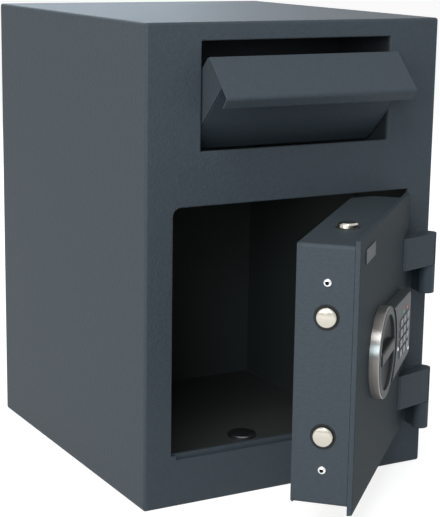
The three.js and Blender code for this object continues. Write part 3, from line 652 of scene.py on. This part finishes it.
class DROPSAFE_OT_door(bpy.types.Operator):
    """Rounds the edges of the door's plate, pan, back cover and battery cover"""
    bl_idname = "dropsafe.door"
    bl_label = "Round the door"

    def execute(self, context):
        edges = context.scene.dropsafe_edges
        # The second coat is painted shade on the faces that look out of the door's front or up
        coats = [finishes["powder_coat"], finishes["door_coat"]]
        plate_back = span("door_plate", OUTWARD)[0]
        pan_back, pan_front = span("door_pan", OUTWARD)
        cover_front = span("door_back_cover", OUTWARD)[1]
        seams = {
            "door_plate": (edges.plate_rounding, [(OUTWARD, plate_back, 0)]),
            "door_pan": (0, [(OUTWARD, pan_front, 0), (OUTWARD, pan_back, cover_front - pan_back)]),
            "door_back_cover": (edges.plate_rounding, [(OUTWARD, cover_front, 0)]),
        }
        for node, (squared, closed) in seams.items():
            paint_shade_on_front_and_top(rounded_copy(node, edges.door, edges.segments, coats, closed, squared))
        for node in ("battery_cover", "name_plate"):
            rounded_copy(node, edges.lock * SMALL_EDGE_SHARE, edges.segments)
        return {"FINISHED"}


class DROPSAFE_OT_hinges(bpy.types.Operator):
    """Rounds the knuckles and the gussets"""
    bl_idname = "dropsafe.hinges"
    bl_label = "Round the hinges"

    def execute(self, context):
        edges = context.scene.dropsafe_edges
        # The second coat is painted shade on the leaves' faces that look out of the door's front or up
        coats = [finishes["powder_coat"], finishes["door_coat"]]
        for place in ("upper", "lower"):
            rounded_copy("hinge_knuckle_" + place, edges.hinge, edges.segments)
            paint_shade_on_front_and_top(rounded_copy("door_hinge_leaf_" + place, edges.hinge, edges.segments, coats))
        return {"FINISHED"}


# Bolts and their bushes

# Share of a bolt's chamfer over which its two corners are eased
EASED_SHARE = 1 / 4
# Steps of a rounded edge on the smallest parts
SMALL_SEGMENTS = 2


class DropSafeBoltSettings(bpy.types.PropertyGroup):
    segments: count_property("Facets", 96, "Facets round a bolt", 24, 256)
    rim: length_property("Rim", 0.0014, "Width of the chamfer at a bolt's end")


def bolt_profile(radius, length, rim):
    """From the tail on the axis to the flat end inside its chamfer."""
    soft = rim * EASED_SHARE
    return [
        (0, 0), (radius - rim, 0), (radius, rim),
        (radius, length - rim - soft), (radius - soft * EASED_SHARE, length - rim),
        (radius - rim, length - soft / 2), (radius - rim - soft, length), (0, length),
    ]


def bolt_size(node, axis):
    """Radius and length of a packed bolt from its box, which a sloping axis makes wider."""
    low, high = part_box(node)
    size = high - low
    if axis.dot(UP) > FACING:
        return size.x / 2, size.z
    radius = size.z / 2
    sideways = 2 * radius * abs(axis.y)
    return radius, (size.x - sideways) / abs(axis.x)


def axis_turn(axis):
    return axis.to_track_quat("Z", "Y").to_matrix().to_4x4()


class DROPSAFE_OT_bolts(bpy.types.Operator):
    """Turns the three bolts with a bright rim, and rounds their bushes"""
    bl_idname = "dropsafe.bolts"
    bl_label = "Turn the bolts"

    def execute(self, context):
        settings = context.scene.dropsafe_bolts
        bolts = (("side_bolt_lower", FREE_EDGE), ("side_bolt_upper", FREE_EDGE), ("top_bolt", UP))
        for node, axis in bolts:
            radius, length = bolt_size(node, axis)
            profile = bolt_profile(radius, length, settings.rim)
            mesh = turned_mesh(node + "_turned", profile, settings.segments)
            tail = middle(node) - axis * length / 2
            mesh.transform(Matrix.Translation(tail) @ axis_turn(axis))
            mesh.materials.append(finishes["bolt_nickel"])
            dress(new_piece(node + "_turned", smooth(mesh)), node)
        bush_edge = context.scene.dropsafe_edges.lock * SMALL_EDGE_SHARE
        for place in ("lower", "upper", "top"):
            rounded_copy("bolt_bush_" + place, bush_edge, SMALL_SEGMENTS)
        return {"FINISHED"}


# Lock: ring, dial, keypad and keys

# Share of the ring's edge over which its bright metal runs on to its front
BRIGHT_EDGE_SHARE = 0.35
# Steps of the ring's outer edge, and of its inner edge and the stud's dome
RING_EDGE_STEPS = 8
SMALL_ARC_STEPS = 6
STUD_FACETS = 32
# Share of the lock's edge radius on its lamps and its stud, and the share of a stud that is sunk in
LAMP_EDGE_SHARE = 1 / 3
STUD_SUNK_SHARE = 1 / 4


class DropSafeLockSettings(bpy.types.PropertyGroup):
    segments: count_property("Facets", 160, "Facets round the knob", 48, 320)
    ring_width: length_property("Ring width", 0.0085, "Width of the knob's ring")
    ring_edge: length_property("Ring edge", 0.0016, "Radius of the ring's outer edge")
    ring_gap: length_property("Ring gap", 0.0003, "How far the ring's foot is off the door")
    mark_height: length_property("Mark height", 0.0055, "Height of the digits on the keys")
    mark_depth: length_property("Mark depth", 0.00012, "How far the digits stand out of the keys")
    stud_radius: length_property("Stud radius", 0.0022, "Radius of the small stud beside the knob")
    stud_height: length_property("Stud height", 0.0007, "How far the stud stands out")
    stud_along: length_property("Stud place", 0.0545, "Distance of the stud from the knob's centre")
    stud_drop: length_property("Stud drop", 0.011, "How far the stud is below the knob's centre")


def arc(centre, radius, start, end, steps):
    """Points of an arc between two angles in degrees."""
    points = []
    for step in range(steps + 1):
        angle = math.radians(start + (end - start) * step / steps)
        points.append((centre[0] + radius * math.cos(angle), centre[1] + radius * math.sin(angle)))
    return points


def ring_size():
    """Radius of the knob's ring and its depth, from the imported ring's box."""
    radius = height("knob_ring") / 2
    low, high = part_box("knob_ring")
    along_y = (high.y - low.y) - 2 * radius * abs(ALONG.y)
    return radius, along_y / abs(OUTWARD.y)


class DROPSAFE_OT_lock(bpy.types.Operator):
    """Turns the knob's ring and rounds the dial, the keypad housing, the lamps and the keys"""
    bl_idname = "dropsafe.lock"
    bl_label = "Make the lock"

    def execute(self, context):
        settings = context.scene.dropsafe_lock
        edges = context.scene.dropsafe_edges
        self.ring(settings)
        rounded_copy("knob_dial", edges.lock, edges.segments, [finishes["dial_plastic"]])
        rounded_copy("keypad_housing", edges.lock, edges.segments)
        for node in ("lamp_green", "lamp_red", "contact_stud"):
            rounded_copy(node, edges.lock * LAMP_EDGE_SHARE, SMALL_SEGMENTS)
        for number in range(1, len(KEY_MARKS) + 1):
            rounded_copy(f"key_{number}", edges.lock, edges.segments)
        self.battery_stud(settings)
        return {"FINISHED"}

    def ring(self, settings):
        """The knob's ring, bright on its side and grey on its front."""
        radius, depth = ring_size()
        foot = settings.ring_gap
        top = foot + depth
        inner = radius - settings.ring_width
        edge = settings.ring_edge
        outer_arc = arc((radius - edge, top - edge), edge, 0, 90, RING_EDGE_STEPS)
        inner_arc = arc((inner + edge / 2, top - edge / 2), edge / 2, 90, 180, SMALL_ARC_STEPS)
        profile = [(radius, foot), *outer_arc, (inner + edge, top), *inner_arc, (inner, foot)]
        mesh = turned_mesh("knob_ring_turned", profile, settings.segments)
        mesh.transform(standing_frame(KNOB_CENTRE))
        mesh.materials.append(finishes["turned_chrome"])
        mesh.materials.append(finishes["grey_plastic"])
        for polygon in mesh.polygons:
            offset = polygon.center - KNOB_CENTRE
            reach = (offset - OUTWARD * offset.dot(OUTWARD)).length
            if reach < radius - edge * BRIGHT_EDGE_SHARE:
                polygon.material_index = 1
        dress(new_piece("knob_ring_turned", smooth(mesh)), "knob_ring")

    def battery_stud(self, settings):
        """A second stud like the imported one, beside the knob."""
        face = span("keypad_housing", OUTWARD)[1] - KNOB_CENTRE.dot(OUTWARD)
        sunk = settings.stud_height * STUD_SUNK_SHARE
        dome = arc((0, 0), 1, 0, 90, SMALL_ARC_STEPS)
        profile = [(0, -sunk), (settings.stud_radius, -sunk)]
        profile += [(settings.stud_radius * across, settings.stud_height * up) for across, up in dome[:-1]]
        profile += [(0, settings.stud_height)]
        mesh = turned_mesh("battery_stud", profile, STUD_FACETS)
        place = KNOB_CENTRE + door_place(settings.stud_along, -settings.stud_drop, face)
        mesh.transform(standing_frame(place))
        mesh.materials.append(finishes["chrome"])
        stud = new_piece("battery_stud", smooth(mesh))
        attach(stud, "door")


class DROPSAFE_OT_marks(bpy.types.Operator):
    """Puts the digits and letters on the keys"""
    bl_idname = "dropsafe.marks"
    bl_label = "Mark the keys"

    def execute(self, context):
        settings = context.scene.dropsafe_lock
        for number, mark in enumerate(KEY_MARKS, 1):
            key = f"key_{number}"
            text = bpy.data.curves.new(key + "_mark", "FONT")
            text.body = mark
            text.align_x = "CENTER"
            text.align_y = "CENTER"
            text.size = settings.mark_height
            text.extrude = settings.mark_depth
            letter = new_piece(key + "_mark", text)
            mesh = worked_out(letter)
            bpy.data.objects.remove(letter)
            bpy.data.curves.remove(text)
            mesh.transform(standing_frame(moved_to(middle(key), OUTWARD, span(key, OUTWARD)[1])))
            mesh.materials.clear()
            mesh.materials.append(finishes["key_mark"])
            piece = new_piece(key + "_mark", mesh)
            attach(piece, f"button_{number}")
        return {"FINISHED"}


# Pieces that repeat, made with Geometry Nodes

# How far the grip ribs lie below the middle of the battery cover, as a share of its height
RIB_DROP_SHARE = 1 / 4


class DropSafeSmallPartSettings(bpy.types.PropertyGroup):
    edge_head_radius: length_property(
        "Edge screw head", 0.0043, "Radius of the screw heads in the free edge")
    edge_socket_radius: length_property("Edge screw socket", 0.0021, "Radius of their sockets")
    cover_head_radius: length_property(
        "Cover screw head", 0.0042, "Radius of the screw heads in the back cover")
    cover_head_height: length_property("Cover screw height", 0.0020, "Height of those heads")
    cover_screw_inset: length_property(
        "Cover screw inset", 0.011, "Distance of those screws from the cover's rim")
    spring_wire: length_property("Spring wire", 0.0006, "Radius of the closing spring's wire")
    spring_turns: FloatProperty(
        name="Spring turns", description="Turns of the closing spring", default=3.5, min=1)
    rib_count: count_property("Ribs", 6, "Grip ribs on the battery cover", 1, 40)
    rib_pitch: length_property("Rib pitch", 0.0035, "Distance between the grip ribs")
    rib_length: length_property("Rib length", 0.030, "Length of a grip rib")
    rib_radius: length_property("Rib radius", 0.0007, "Radius of a grip rib")


class NodeTree:
    """A Geometry Nodes tree with named inputs."""

    def __init__(self, name):
        self.tree = bpy.data.node_groups.new(name, "GeometryNodeTree")
        for way in ("INPUT", "OUTPUT"):
            self.tree.interface.new_socket("Geometry", in_out=way, socket_type="NodeSocketGeometry")
        self.given = self.tree.nodes.new("NodeGroupInput")
        self.result = self.tree.nodes.new("NodeGroupOutput")

    def ask(self, kind, *names):
        """Named inputs of a kind, as the outputs of the group's input node that carry them."""
        for name in names:
            self.tree.interface.new_socket(name, in_out="INPUT", socket_type="NodeSocket" + kind)
        sockets = [self.given.outputs[name] for name in names]
        return sockets if len(names) > 1 else sockets[0]

    def ask_turn(self):
        """An input named Turn that holds an axis turn, as a rotation."""
        turn = self.ask("Vector", "Turn")
        return self.add("FunctionNodeEulerToRotation", {"Euler": turn}).outputs["Rotation"]

    def add(self, kind, inputs=(), **choices):
        """A node whose inputs are set to values or linked to the outputs of other nodes."""
        node = self.tree.nodes.new(kind)
        for key, value in choices.items():
            setattr(node, key, value)
        for key, value in dict(inputs).items():
            for source in value if isinstance(value, list) else [value]:
                if isinstance(source, bpy.types.NodeSocket):
                    self.tree.links.new(source, node.inputs[key])
                else:
                    node.inputs[key].default_value = source
        return node

    def maths(self, operation, first, second):
        return self.add("ShaderNodeMath", {0: first, 1: second}, operation=operation).outputs["Value"]

    def times(self, first, second):
        return self.maths("MULTIPLY", first, second)

    def vector(self, x, y, z):
        return self.add("ShaderNodeCombineXYZ", {"X": x, "Y": y, "Z": z}).outputs["Vector"]

    def cylinder(self, sides, radius, depth):
        """A cylinder along Z, centred on the origin."""
        node = self.add("GeometryNodeMeshCylinder", {"Vertices": sides, "Radius": radius, "Depth": depth})
        return node.outputs["Mesh"]

    def transformed(self, geometry, **changes):
        """The geometry after its Scale, Rotation and Translation."""
        return self.add("GeometryNodeTransform", {"Geometry": geometry, **changes}).outputs["Geometry"]

    def swept(self, curve, sides, radius):
        """A closed round rod along a curve."""
        section = self.add("GeometryNodeCurvePrimitiveCircle", {"Resolution": sides, "Radius": radius})
        rod = self.add("GeometryNodeCurveToMesh", {
            "Curve": curve, "Profile Curve": section.outputs["Curve"], "Fill Caps": True})
        return rod.outputs["Mesh"]

    def spread(self, points, instance, **others):
        """The instance at each of the points."""
        node = self.add("GeometryNodeInstanceOnPoints", {"Points": points, "Instance": instance, **others})
        return node.outputs["Instances"]

    def finish_with(self, geometry, *paints):
        """Realizes the instances and lays each material on the faces that it is chosen for."""
        last = self.add("GeometryNodeRealizeInstances", {"Geometry": geometry}).outputs["Geometry"]
        for material, chosen in paints:
            last = self.add("GeometryNodeSetMaterial", {
                "Geometry": last, "Material": material, "Selection": chosen}).outputs["Geometry"]
        self.tree.links.new(last, self.result.inputs["Geometry"])
        return self.tree


def screw_tree():
    """Button-head screws with six-sided sockets, one at each point of the mesh."""
    head_facets = 32
    shaft_facets = 20
    socket_sides = 6
    # The socket's cutter is centred on the top of the head, so half of it is in the head
    cutter_share = 1.2
    block_share = 3.0
    # Faces of the cut head that belong to the socket: how far out they reach, and how low they lie
    socket_reach_share = 0.9
    socket_level_share = 0.1
    tree = NodeTree("Socket screws")
    head_radius, head_height, socket_radius, shaft_radius, shaft_length = tree.ask(
        "Float", "Head Radius", "Head Height", "Socket Radius", "Shaft Radius", "Shaft Length")
    turn = tree.ask_turn()
    head_finish, socket_finish = tree.ask("Material", "Head Finish", "Socket Finish")
    ball = tree.add("GeometryNodeMeshUVSphere", {
        "Segments": head_facets, "Rings": head_facets // 2, "Radius": 1.0}).outputs["Mesh"]
    dome = tree.transformed(ball, Scale=tree.vector(head_radius, head_radius, head_height))
    prism = tree.cylinder(socket_sides, socket_radius, tree.times(head_height, cutter_share))
    well = tree.transformed(prism, Translation=tree.vector(0.0, 0.0, head_height))
    width = tree.times(head_radius, block_share)
    block = tree.add("GeometryNodeMeshCube", {"Size": tree.vector(width, width, width)}).outputs["Mesh"]
    below = tree.transformed(block, Translation=tree.vector(0.0, 0.0, tree.times(width, -0.5)))
    head = tree.add("GeometryNodeMeshBoolean", {
        "Mesh 1": dome, "Mesh 2": [well, below]}, operation="DIFFERENCE").outputs["Mesh"]
    place = tree.add("GeometryNodeInputPosition").outputs["Position"]
    parts = tree.add("ShaderNodeSeparateXYZ", {"Vector": place}).outputs
    flat = tree.vector(parts["X"], parts["Y"], 0.0)
    reach = tree.add("ShaderNodeVectorMath", {0: flat}, operation="LENGTH").outputs["Value"]
    near = tree.maths("LESS_THAN", reach, tree.times(socket_radius, socket_reach_share))
    raised = tree.maths("GREATER_THAN", parts["Z"], tree.times(head_height, socket_level_share))
    marked = tree.add("GeometryNodeStoreNamedAttribute", {
        "Geometry": head, "Name": "socket", "Value": tree.times(near, raised)},
        data_type="BOOLEAN", domain="FACE").outputs["Geometry"]
    rod = tree.cylinder(shaft_facets, shaft_radius, shaft_length)
    shaft = tree.transformed(rod, Translation=tree.vector(0.0, 0.0, tree.times(shaft_length, -0.5)))
    screw = tree.add("GeometryNodeJoinGeometry", {"Geometry": [marked, shaft]}).outputs["Geometry"]
    screws = tree.spread(tree.given.outputs["Geometry"], screw, Rotation=turn)
    socket = tree.add("GeometryNodeInputNamedAttribute", {"Name": "socket"}, data_type="BOOLEAN")
    return tree.finish_with(screws, (head_finish, True), (socket_finish, socket.outputs["Attribute"]))


def spring_tree():
    """A close helical spring of round wire along Z, then turned and put in its place."""
    steps_per_turn = 40
    wire_sides = 12
    tree = NodeTree("Coil spring")
    radius, wire, length, turns = tree.ask("Float", "Coil Radius", "Wire Radius", "Length", "Turns")
    place = tree.ask("Vector", "Place")
    turn = tree.ask_turn()
    wire_finish = tree.ask("Material", "Finish")
    middle_radius = tree.maths("SUBTRACT", radius, wire)
    rise = tree.maths("SUBTRACT", length, tree.times(wire, 2.0))
    coil = tree.add("GeometryNodeCurveSpiral", {
        "Resolution": steps_per_turn, "Rotations": turns, "Start Radius": middle_radius,
        "End Radius": middle_radius, "Height": rise})
    drawn = tree.swept(coil.outputs["Curve"], wire_sides, wire)
    lifted = tree.transformed(drawn, Translation=tree.vector(0.0, 0.0, wire))
    return tree.finish_with(tree.transformed(lifted, Translation=place, Rotation=turn), (wire_finish, True))


def rib_tree():
    """A row of round-topped grip ribs about the origin, then turned and put in its place."""
    rib_sides = 16
    tree = NodeTree("Grip ribs")
    count = tree.ask("Int", "Count")
    pitch, length, radius = tree.ask("Float", "Pitch", "Rib Length", "Rib Radius")
    place = tree.ask("Vector", "Place")
    turn = tree.ask_turn()
    rib_finish = tree.ask("Material", "Finish")
    half = tree.times(length, 0.5)
    spine = tree.add("GeometryNodeCurvePrimitiveLine", {
        "Start": tree.vector(tree.times(half, -1.0), 0.0, 0.0), "End": tree.vector(half, 0.0, 0.0)})
    rib = tree.swept(spine.outputs["Curve"], rib_sides, radius)
    steps = tree.maths("SUBTRACT", count, 1.0)
    first = tree.times(tree.times(steps, pitch), -0.5)
    row = tree.add("GeometryNodeMeshLine", {
        "Count": count, "Start Location": tree.vector(0.0, first, 0.0),
        "Offset": tree.vector(0.0, pitch, 0.0)}, mode="OFFSET")
    ribs = tree.spread(row.outputs["Mesh"], rib)
    return tree.finish_with(tree.transformed(ribs, Translation=place, Rotation=turn), (rib_finish, True))


def grown(name, tree, values, points=()):
    """A plain mesh grown by a tree from its named values and points."""
    mesh = bpy.data.meshes.new(name)
    mesh.from_pydata([tuple(point) for point in points], [], [])
    piece = new_piece(name, mesh)
    modifier = piece.modifiers.new(tree.name, "NODES")
    modifier.node_group = tree
    identifiers = {
        item.name: item.identifier for item in tree.interface.items_tree if item.in_out == "INPUT"}
    for key, value in values.items():
        modifier[identifiers[key]] = value
    settle(piece)
    smooth(piece.data)
    return piece


def turn_towards(axis):
    """The turn that brings Z to an axis."""
    return tuple(axis.to_track_quat("Z", "Y").to_euler())


class DROPSAFE_OT_screws(bpy.types.Operator):
    """Puts the screws in the door's free edge and in its back cover"""
    bl_idname = "dropsafe.screws"
    bl_label = "Drive the screws"

    def execute(self, context):
        settings = context.scene.dropsafe_small_parts
        tree = screw_tree()
        edge = span("door_pan", FREE_EDGE)[1]
        for place in ("lower", "upper"):
            node = "edge_screw_" + place
            least, most = span(node, FREE_EDGE)
            piece = grown(node + "_button", tree, {
                "Head Radius": settings.edge_head_radius,
                "Head Height": most - edge,
                "Socket Radius": settings.edge_socket_radius,
                "Shaft Radius": settings.edge_head_radius / 2,
                "Shaft Length": edge - least,
                "Turn": turn_towards(FREE_EDGE),
                "Head Finish": finishes["chrome"],
                "Socket Finish": finishes["socket_black"],
            }, [moved_to(middle(node), FREE_EDGE, edge)])
            dress(piece, node)
        back = span("door_back_cover", OUTWARD)[0]
        near, far = span("door_back_cover", ALONG)
        low, high = span("door_back_cover", UP)
        inset = settings.cover_screw_inset
        points = []
        for along in (near + inset, far - inset):
            for level in (low + inset, (low + high) / 2, high - inset):
                points.append(door_place(along, level, back))
        piece = grown("back_cover_screws", tree, {
            "Head Radius": settings.cover_head_radius,
            "Head Height": settings.cover_head_height,
            "Socket Radius": settings.cover_head_radius / 2,
            "Shaft Radius": settings.cover_head_radius / 2,
            "Shaft Length": settings.cover_head_height,
            "Turn": turn_towards(-OUTWARD),
            "Head Finish": finishes["steel"],
            "Socket Finish": finishes["socket_black"],
        }, points)
        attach(piece, "door")
        return {"FINISHED"}


class DROPSAFE_OT_spring(bpy.types.Operator):
    """Winds the closing spring round the deposit drawer's pivot"""
    bl_idname = "dropsafe.spring"
    bl_label = "Wind the closing spring"

    def execute(self, context):
        settings = context.scene.dropsafe_small_parts
        low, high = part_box("drawer_spring")
        centre = (low + high) / 2
        piece = grown("drawer_spring_coil", spring_tree(), {
            "Coil Radius": (high.z - low.z) / 2,
            "Wire Radius": settings.spring_wire,
            "Length": high.x - low.x,
            "Turns": settings.spring_turns,
            "Place": (low.x, centre.y, centre.z),
            "Turn": turn_towards(Vector((1, 0, 0))),
            "Finish": finishes["steel"],
        })
        dress(piece, "drawer_spring")
        return {"FINISHED"}


class DROPSAFE_OT_ribs(bpy.types.Operator):
    """Puts the grip ribs on the battery cover behind the door"""
    bl_idname = "dropsafe.ribs"
    bl_label = "Raise the grip ribs"

    def execute(self, context):
        settings = context.scene.dropsafe_small_parts
        back = span("battery_cover", OUTWARD)[0]
        drop = height("battery_cover") * RIB_DROP_SHARE
        place = moved_to(middle("battery_cover"), OUTWARD, back) - UP * drop
        piece = grown("battery_cover_ribs", rib_tree(), {
            "Count": settings.rib_count,
            "Pitch": settings.rib_pitch,
            "Rib Length": settings.rib_length,
            "Rib Radius": settings.rib_radius,
            "Place": tuple(place),
            "Turn": tuple(standing_frame(place).to_euler()),
            "Finish": finishes["black_plastic"],
        })
        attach(piece, "door")
        return {"FINISHED"}


# Stage

FLOOR_ROUGHNESS = 0.9
WHITE = (1, 1, 1)
# Each lamp's place from the middle of the safe, and the side of its square
LAMPS = {
    "top": ((-0.4, -0.2, 1.9), 1.4),
    "side": ((-1.9, -0.9, 0.7), 1.2),
    "front": ((-1.02, -1.46, 1.97), 0.9),
    "low": ((-1.62, -2.05, 0.82), 0.9),
    "back": ((0.5, 2.5, 1.0), 1.6),
}


def angle_property(name, default, description):
    return FloatProperty(name=name, description=description, default=default, unit="ROTATION")


def light_property(name, default, description):
    return FloatVectorProperty(
        name=name, description=description, default=default, size=3, min=0, max=1, subtype="COLOR")


def power_property(name, default, description):
    return FloatProperty(name=name, description=description, default=default, min=0, unit="POWER")


class DropSafeStageSettings(bpy.types.PropertyGroup):
    camera_place: FloatVectorProperty(
        name="Camera", description="Place of the camera", default=(-0.816398, -1.487051, 0.586912), size=3,
        subtype="TRANSLATION", unit="LENGTH")
    camera_yaw: angle_property("Yaw", 0.5120074620, "Turn of the view about the vertical")
    camera_pitch: angle_property("Pitch", 0.2165969499, "How far the view looks down")
    camera_roll: angle_property("Roll", 0.0152736094, "Roll of the view")
    camera_lens: FloatProperty(
        name="Lens", description="Focal length in millimetres", default=103.5307, min=1, unit="CAMERA")
    floor_size: length_property("Floor", 30.0, "Side of the floor")
    floor_colour: colour_property("Floor colour", (0.76, 0.76, 0.76), "Colour of the floor")
    floor_glow: FloatProperty(
        name="Floor glow", description="Light of the floor that only the camera and reflections see",
        default=0.75, min=0)
    sky_fill: FloatProperty(
        name="Sky", description="Strength of the surroundings' light on matt surfaces", default=0.38, min=0)
    top_power: power_property("Top lamp", 2, "Power of the lamp overhead")
    side_power: power_property("Side lamp", 18, "Power of the lamp at the left")
    front_power: power_property("Front lamp", 25, "Power of the lamp in front")
    low_power: power_property("Low lamp", 20, "Power of the low lamp in front")
    back_power: power_property("Back lamp", 30, "Power of the lamp behind")
    top_colour: light_property("Top lamp colour", WHITE, "Colour of the lamp overhead")
    side_colour: light_property("Side lamp colour", (1.0, 0.9, 0.76), "Colour of the lamp at the left")
    front_colour: light_property("Front lamp colour", WHITE, "Colour of the lamp in front")
    low_colour: light_property("Low lamp colour", (0.72, 0.92, 1.0), "Colour of the low lamp in front")
    back_colour: light_property("Back lamp colour", (0.72, 0.87, 1.0), "Colour of the lamp behind")


def seen_strength(nodes, links, seen, unseen):
    """A strength that is seen for camera, glossy and transmission rays, and unseen for all others."""
    path = nodes.new("ShaderNodeLightPath")
    chosen = path.outputs["Is Camera Ray"]
    for kind in ("Is Glossy Ray", "Is Transmission Ray"):
        either = nodes.new("ShaderNodeMath")
        either.operation = "MAXIMUM"
        links.new(chosen, either.inputs[0])
        links.new(path.outputs[kind], either.inputs[1])
        chosen = either.outputs["Value"]
    ramp = nodes.new("ShaderNodeMapRange")
    ramp.inputs["To Min"].default_value = unseen
    ramp.inputs["To Max"].default_value = seen
    links.new(chosen, ramp.inputs["Value"])
    return ramp.outputs["Result"]


def white_surroundings(fill):
    world = bpy.data.worlds.new("white_surroundings")
    world.use_nodes = True
    nodes = world.node_tree.nodes
    links = world.node_tree.links
    background = nodes["Background"]
    background.inputs["Color"].default_value = (*WHITE, 1)
    links.new(seen_strength(nodes, links, 1.0, fill), background.inputs["Strength"])
    bpy.context.scene.world = world


def white_floor(settings):
    mesh = bpy.data.meshes.new("floor")
    half = settings.floor_size / 2
    corners = [(-half, -half, 0), (half, -half, 0), (half, half, 0), (-half, half, 0)]
    mesh.from_pydata(corners, [], [(0, 1, 2, 3)])
    material = finish("floor", settings.floor_colour, FLOOR_ROUGHNESS, specular=0.0)
    nodes, links, shader = parts_of(material)
    shader.inputs["Emission Color"].default_value = (*WHITE, 1)
    links.new(seen_strength(nodes, links, settings.floor_glow, 0), shader.inputs["Emission Strength"])
    mesh.materials.append(material)
    new_piece("floor", mesh)


def soft_lamp(name, place, target, size, power, colour):
    lamp = bpy.data.lights.new(name, "AREA")
    lamp.shape = "SQUARE"
    lamp.size = size
    lamp.energy = power
    lamp.color = colour
    stand = bpy.data.objects.new(name, lamp)
    stand.visible_camera = False
    bpy.context.scene.collection.objects.link(stand)
    stand.location = place
    stand.rotation_euler = (target - place).to_track_quat("-Z", "Y").to_euler()


class DROPSAFE_OT_stage(bpy.types.Operator):
    """Sets up the white floor, the soft lamps, the surroundings and the camera"""
    bl_idname = "dropsafe.stage"
    bl_label = "Set up the stage"

    def execute(self, context):
        settings = context.scene.dropsafe_stage
        scene = context.scene
        scene.view_settings.view_transform = "Standard"
        white_surroundings(settings.sky_fill)
        white_floor(settings)
        centre = (packed_bounds[0] + packed_bounds[1]) / 2
        for name, (offset, size) in LAMPS.items():
            power = getattr(settings, name + "_power")
            colour = getattr(settings, name + "_colour")
            soft_lamp(name + "_lamp", centre + Vector(offset), centre, size, power, colour)
        view = bpy.data.cameras.new("camera")
        view.lens = settings.camera_lens
        camera = bpy.data.objects.new("camera", view)
        scene.collection.objects.link(camera)
        turn = (Matrix.Rotation(-settings.camera_yaw, 4, "Z")
                @ Matrix.Rotation(math.pi / 2 - settings.camera_pitch, 4, "X")
                @ Matrix.Rotation(settings.camera_roll, 4, "Z"))
        camera.matrix_world = Matrix.Translation(settings.camera_place) @ turn
        scene.camera = camera
        return {"FINISHED"}


STEPS = (
    DROPSAFE_OT_finishes,
    DROPSAFE_OT_casing,
    DROPSAFE_OT_drawer,
    DROPSAFE_OT_door,
    DROPSAFE_OT_hinges,
    DROPSAFE_OT_bolts,
    DROPSAFE_OT_lock,
    DROPSAFE_OT_marks,
    DROPSAFE_OT_screws,
    DROPSAFE_OT_spring,
    DROPSAFE_OT_ribs,
    DROPSAFE_OT_stage,
)
SETTINGS = {
    "dropsafe_finishes": DropSafeFinishSettings,
    "dropsafe_edges": DropSafeEdgeSettings,
    "dropsafe_bolts": DropSafeBoltSettings,
    "dropsafe_lock": DropSafeLockSettings,
    "dropsafe_small_parts": DropSafeSmallPartSettings,
    "dropsafe_stage": DropSafeStageSettings,
}


class DROPSAFE_PT_panel(bpy.types.Panel):
    """Lists the steps that dress the safe, and their sizes and colours"""
    bl_idname = "DROPSAFE_PT_panel"
    bl_label = "Drop Safe"
    bl_space_type = "VIEW_3D"
    bl_region_type = "UI"
    bl_category = "Drop Safe"

    def draw(self, context):
        for step in STEPS:
            self.layout.operator(step.bl_idname)
        for name, group in SETTINGS.items():
            settings = getattr(context.scene, name)
            column = self.layout.column(align=True)
            for field in group.__annotations__:
                column.prop(settings, field)


def register():
    for group in SETTINGS.values():
        bpy.utils.register_class(group)
    for name, group in SETTINGS.items():
        setattr(bpy.types.Scene, name, PointerProperty(type=group))
    for step in STEPS:
        bpy.utils.register_class(step)
    bpy.utils.register_class(DROPSAFE_PT_panel)


def unregister():
    bpy.utils.unregister_class(DROPSAFE_PT_panel)
    for step in reversed(STEPS):
        bpy.utils.unregister_class(step)
    for name, group in SETTINGS.items():
        delattr(bpy.types.Scene, name)
        bpy.utils.unregister_class(group)


def main():
    register()
    bpy.ops.dropsafe.finishes()
    bpy.ops.dropsafe.casing()
    bpy.ops.dropsafe.drawer()
    bpy.ops.dropsafe.door()
    bpy.ops.dropsafe.hinges()
    bpy.ops.dropsafe.bolts()
    bpy.ops.dropsafe.lock()
    bpy.ops.dropsafe.marks()
    bpy.ops.dropsafe.screws()
    bpy.ops.dropsafe.spring()
    bpy.ops.dropsafe.ribs()
    bpy.ops.dropsafe.stage()


if __name__ == "__main__":
    main()
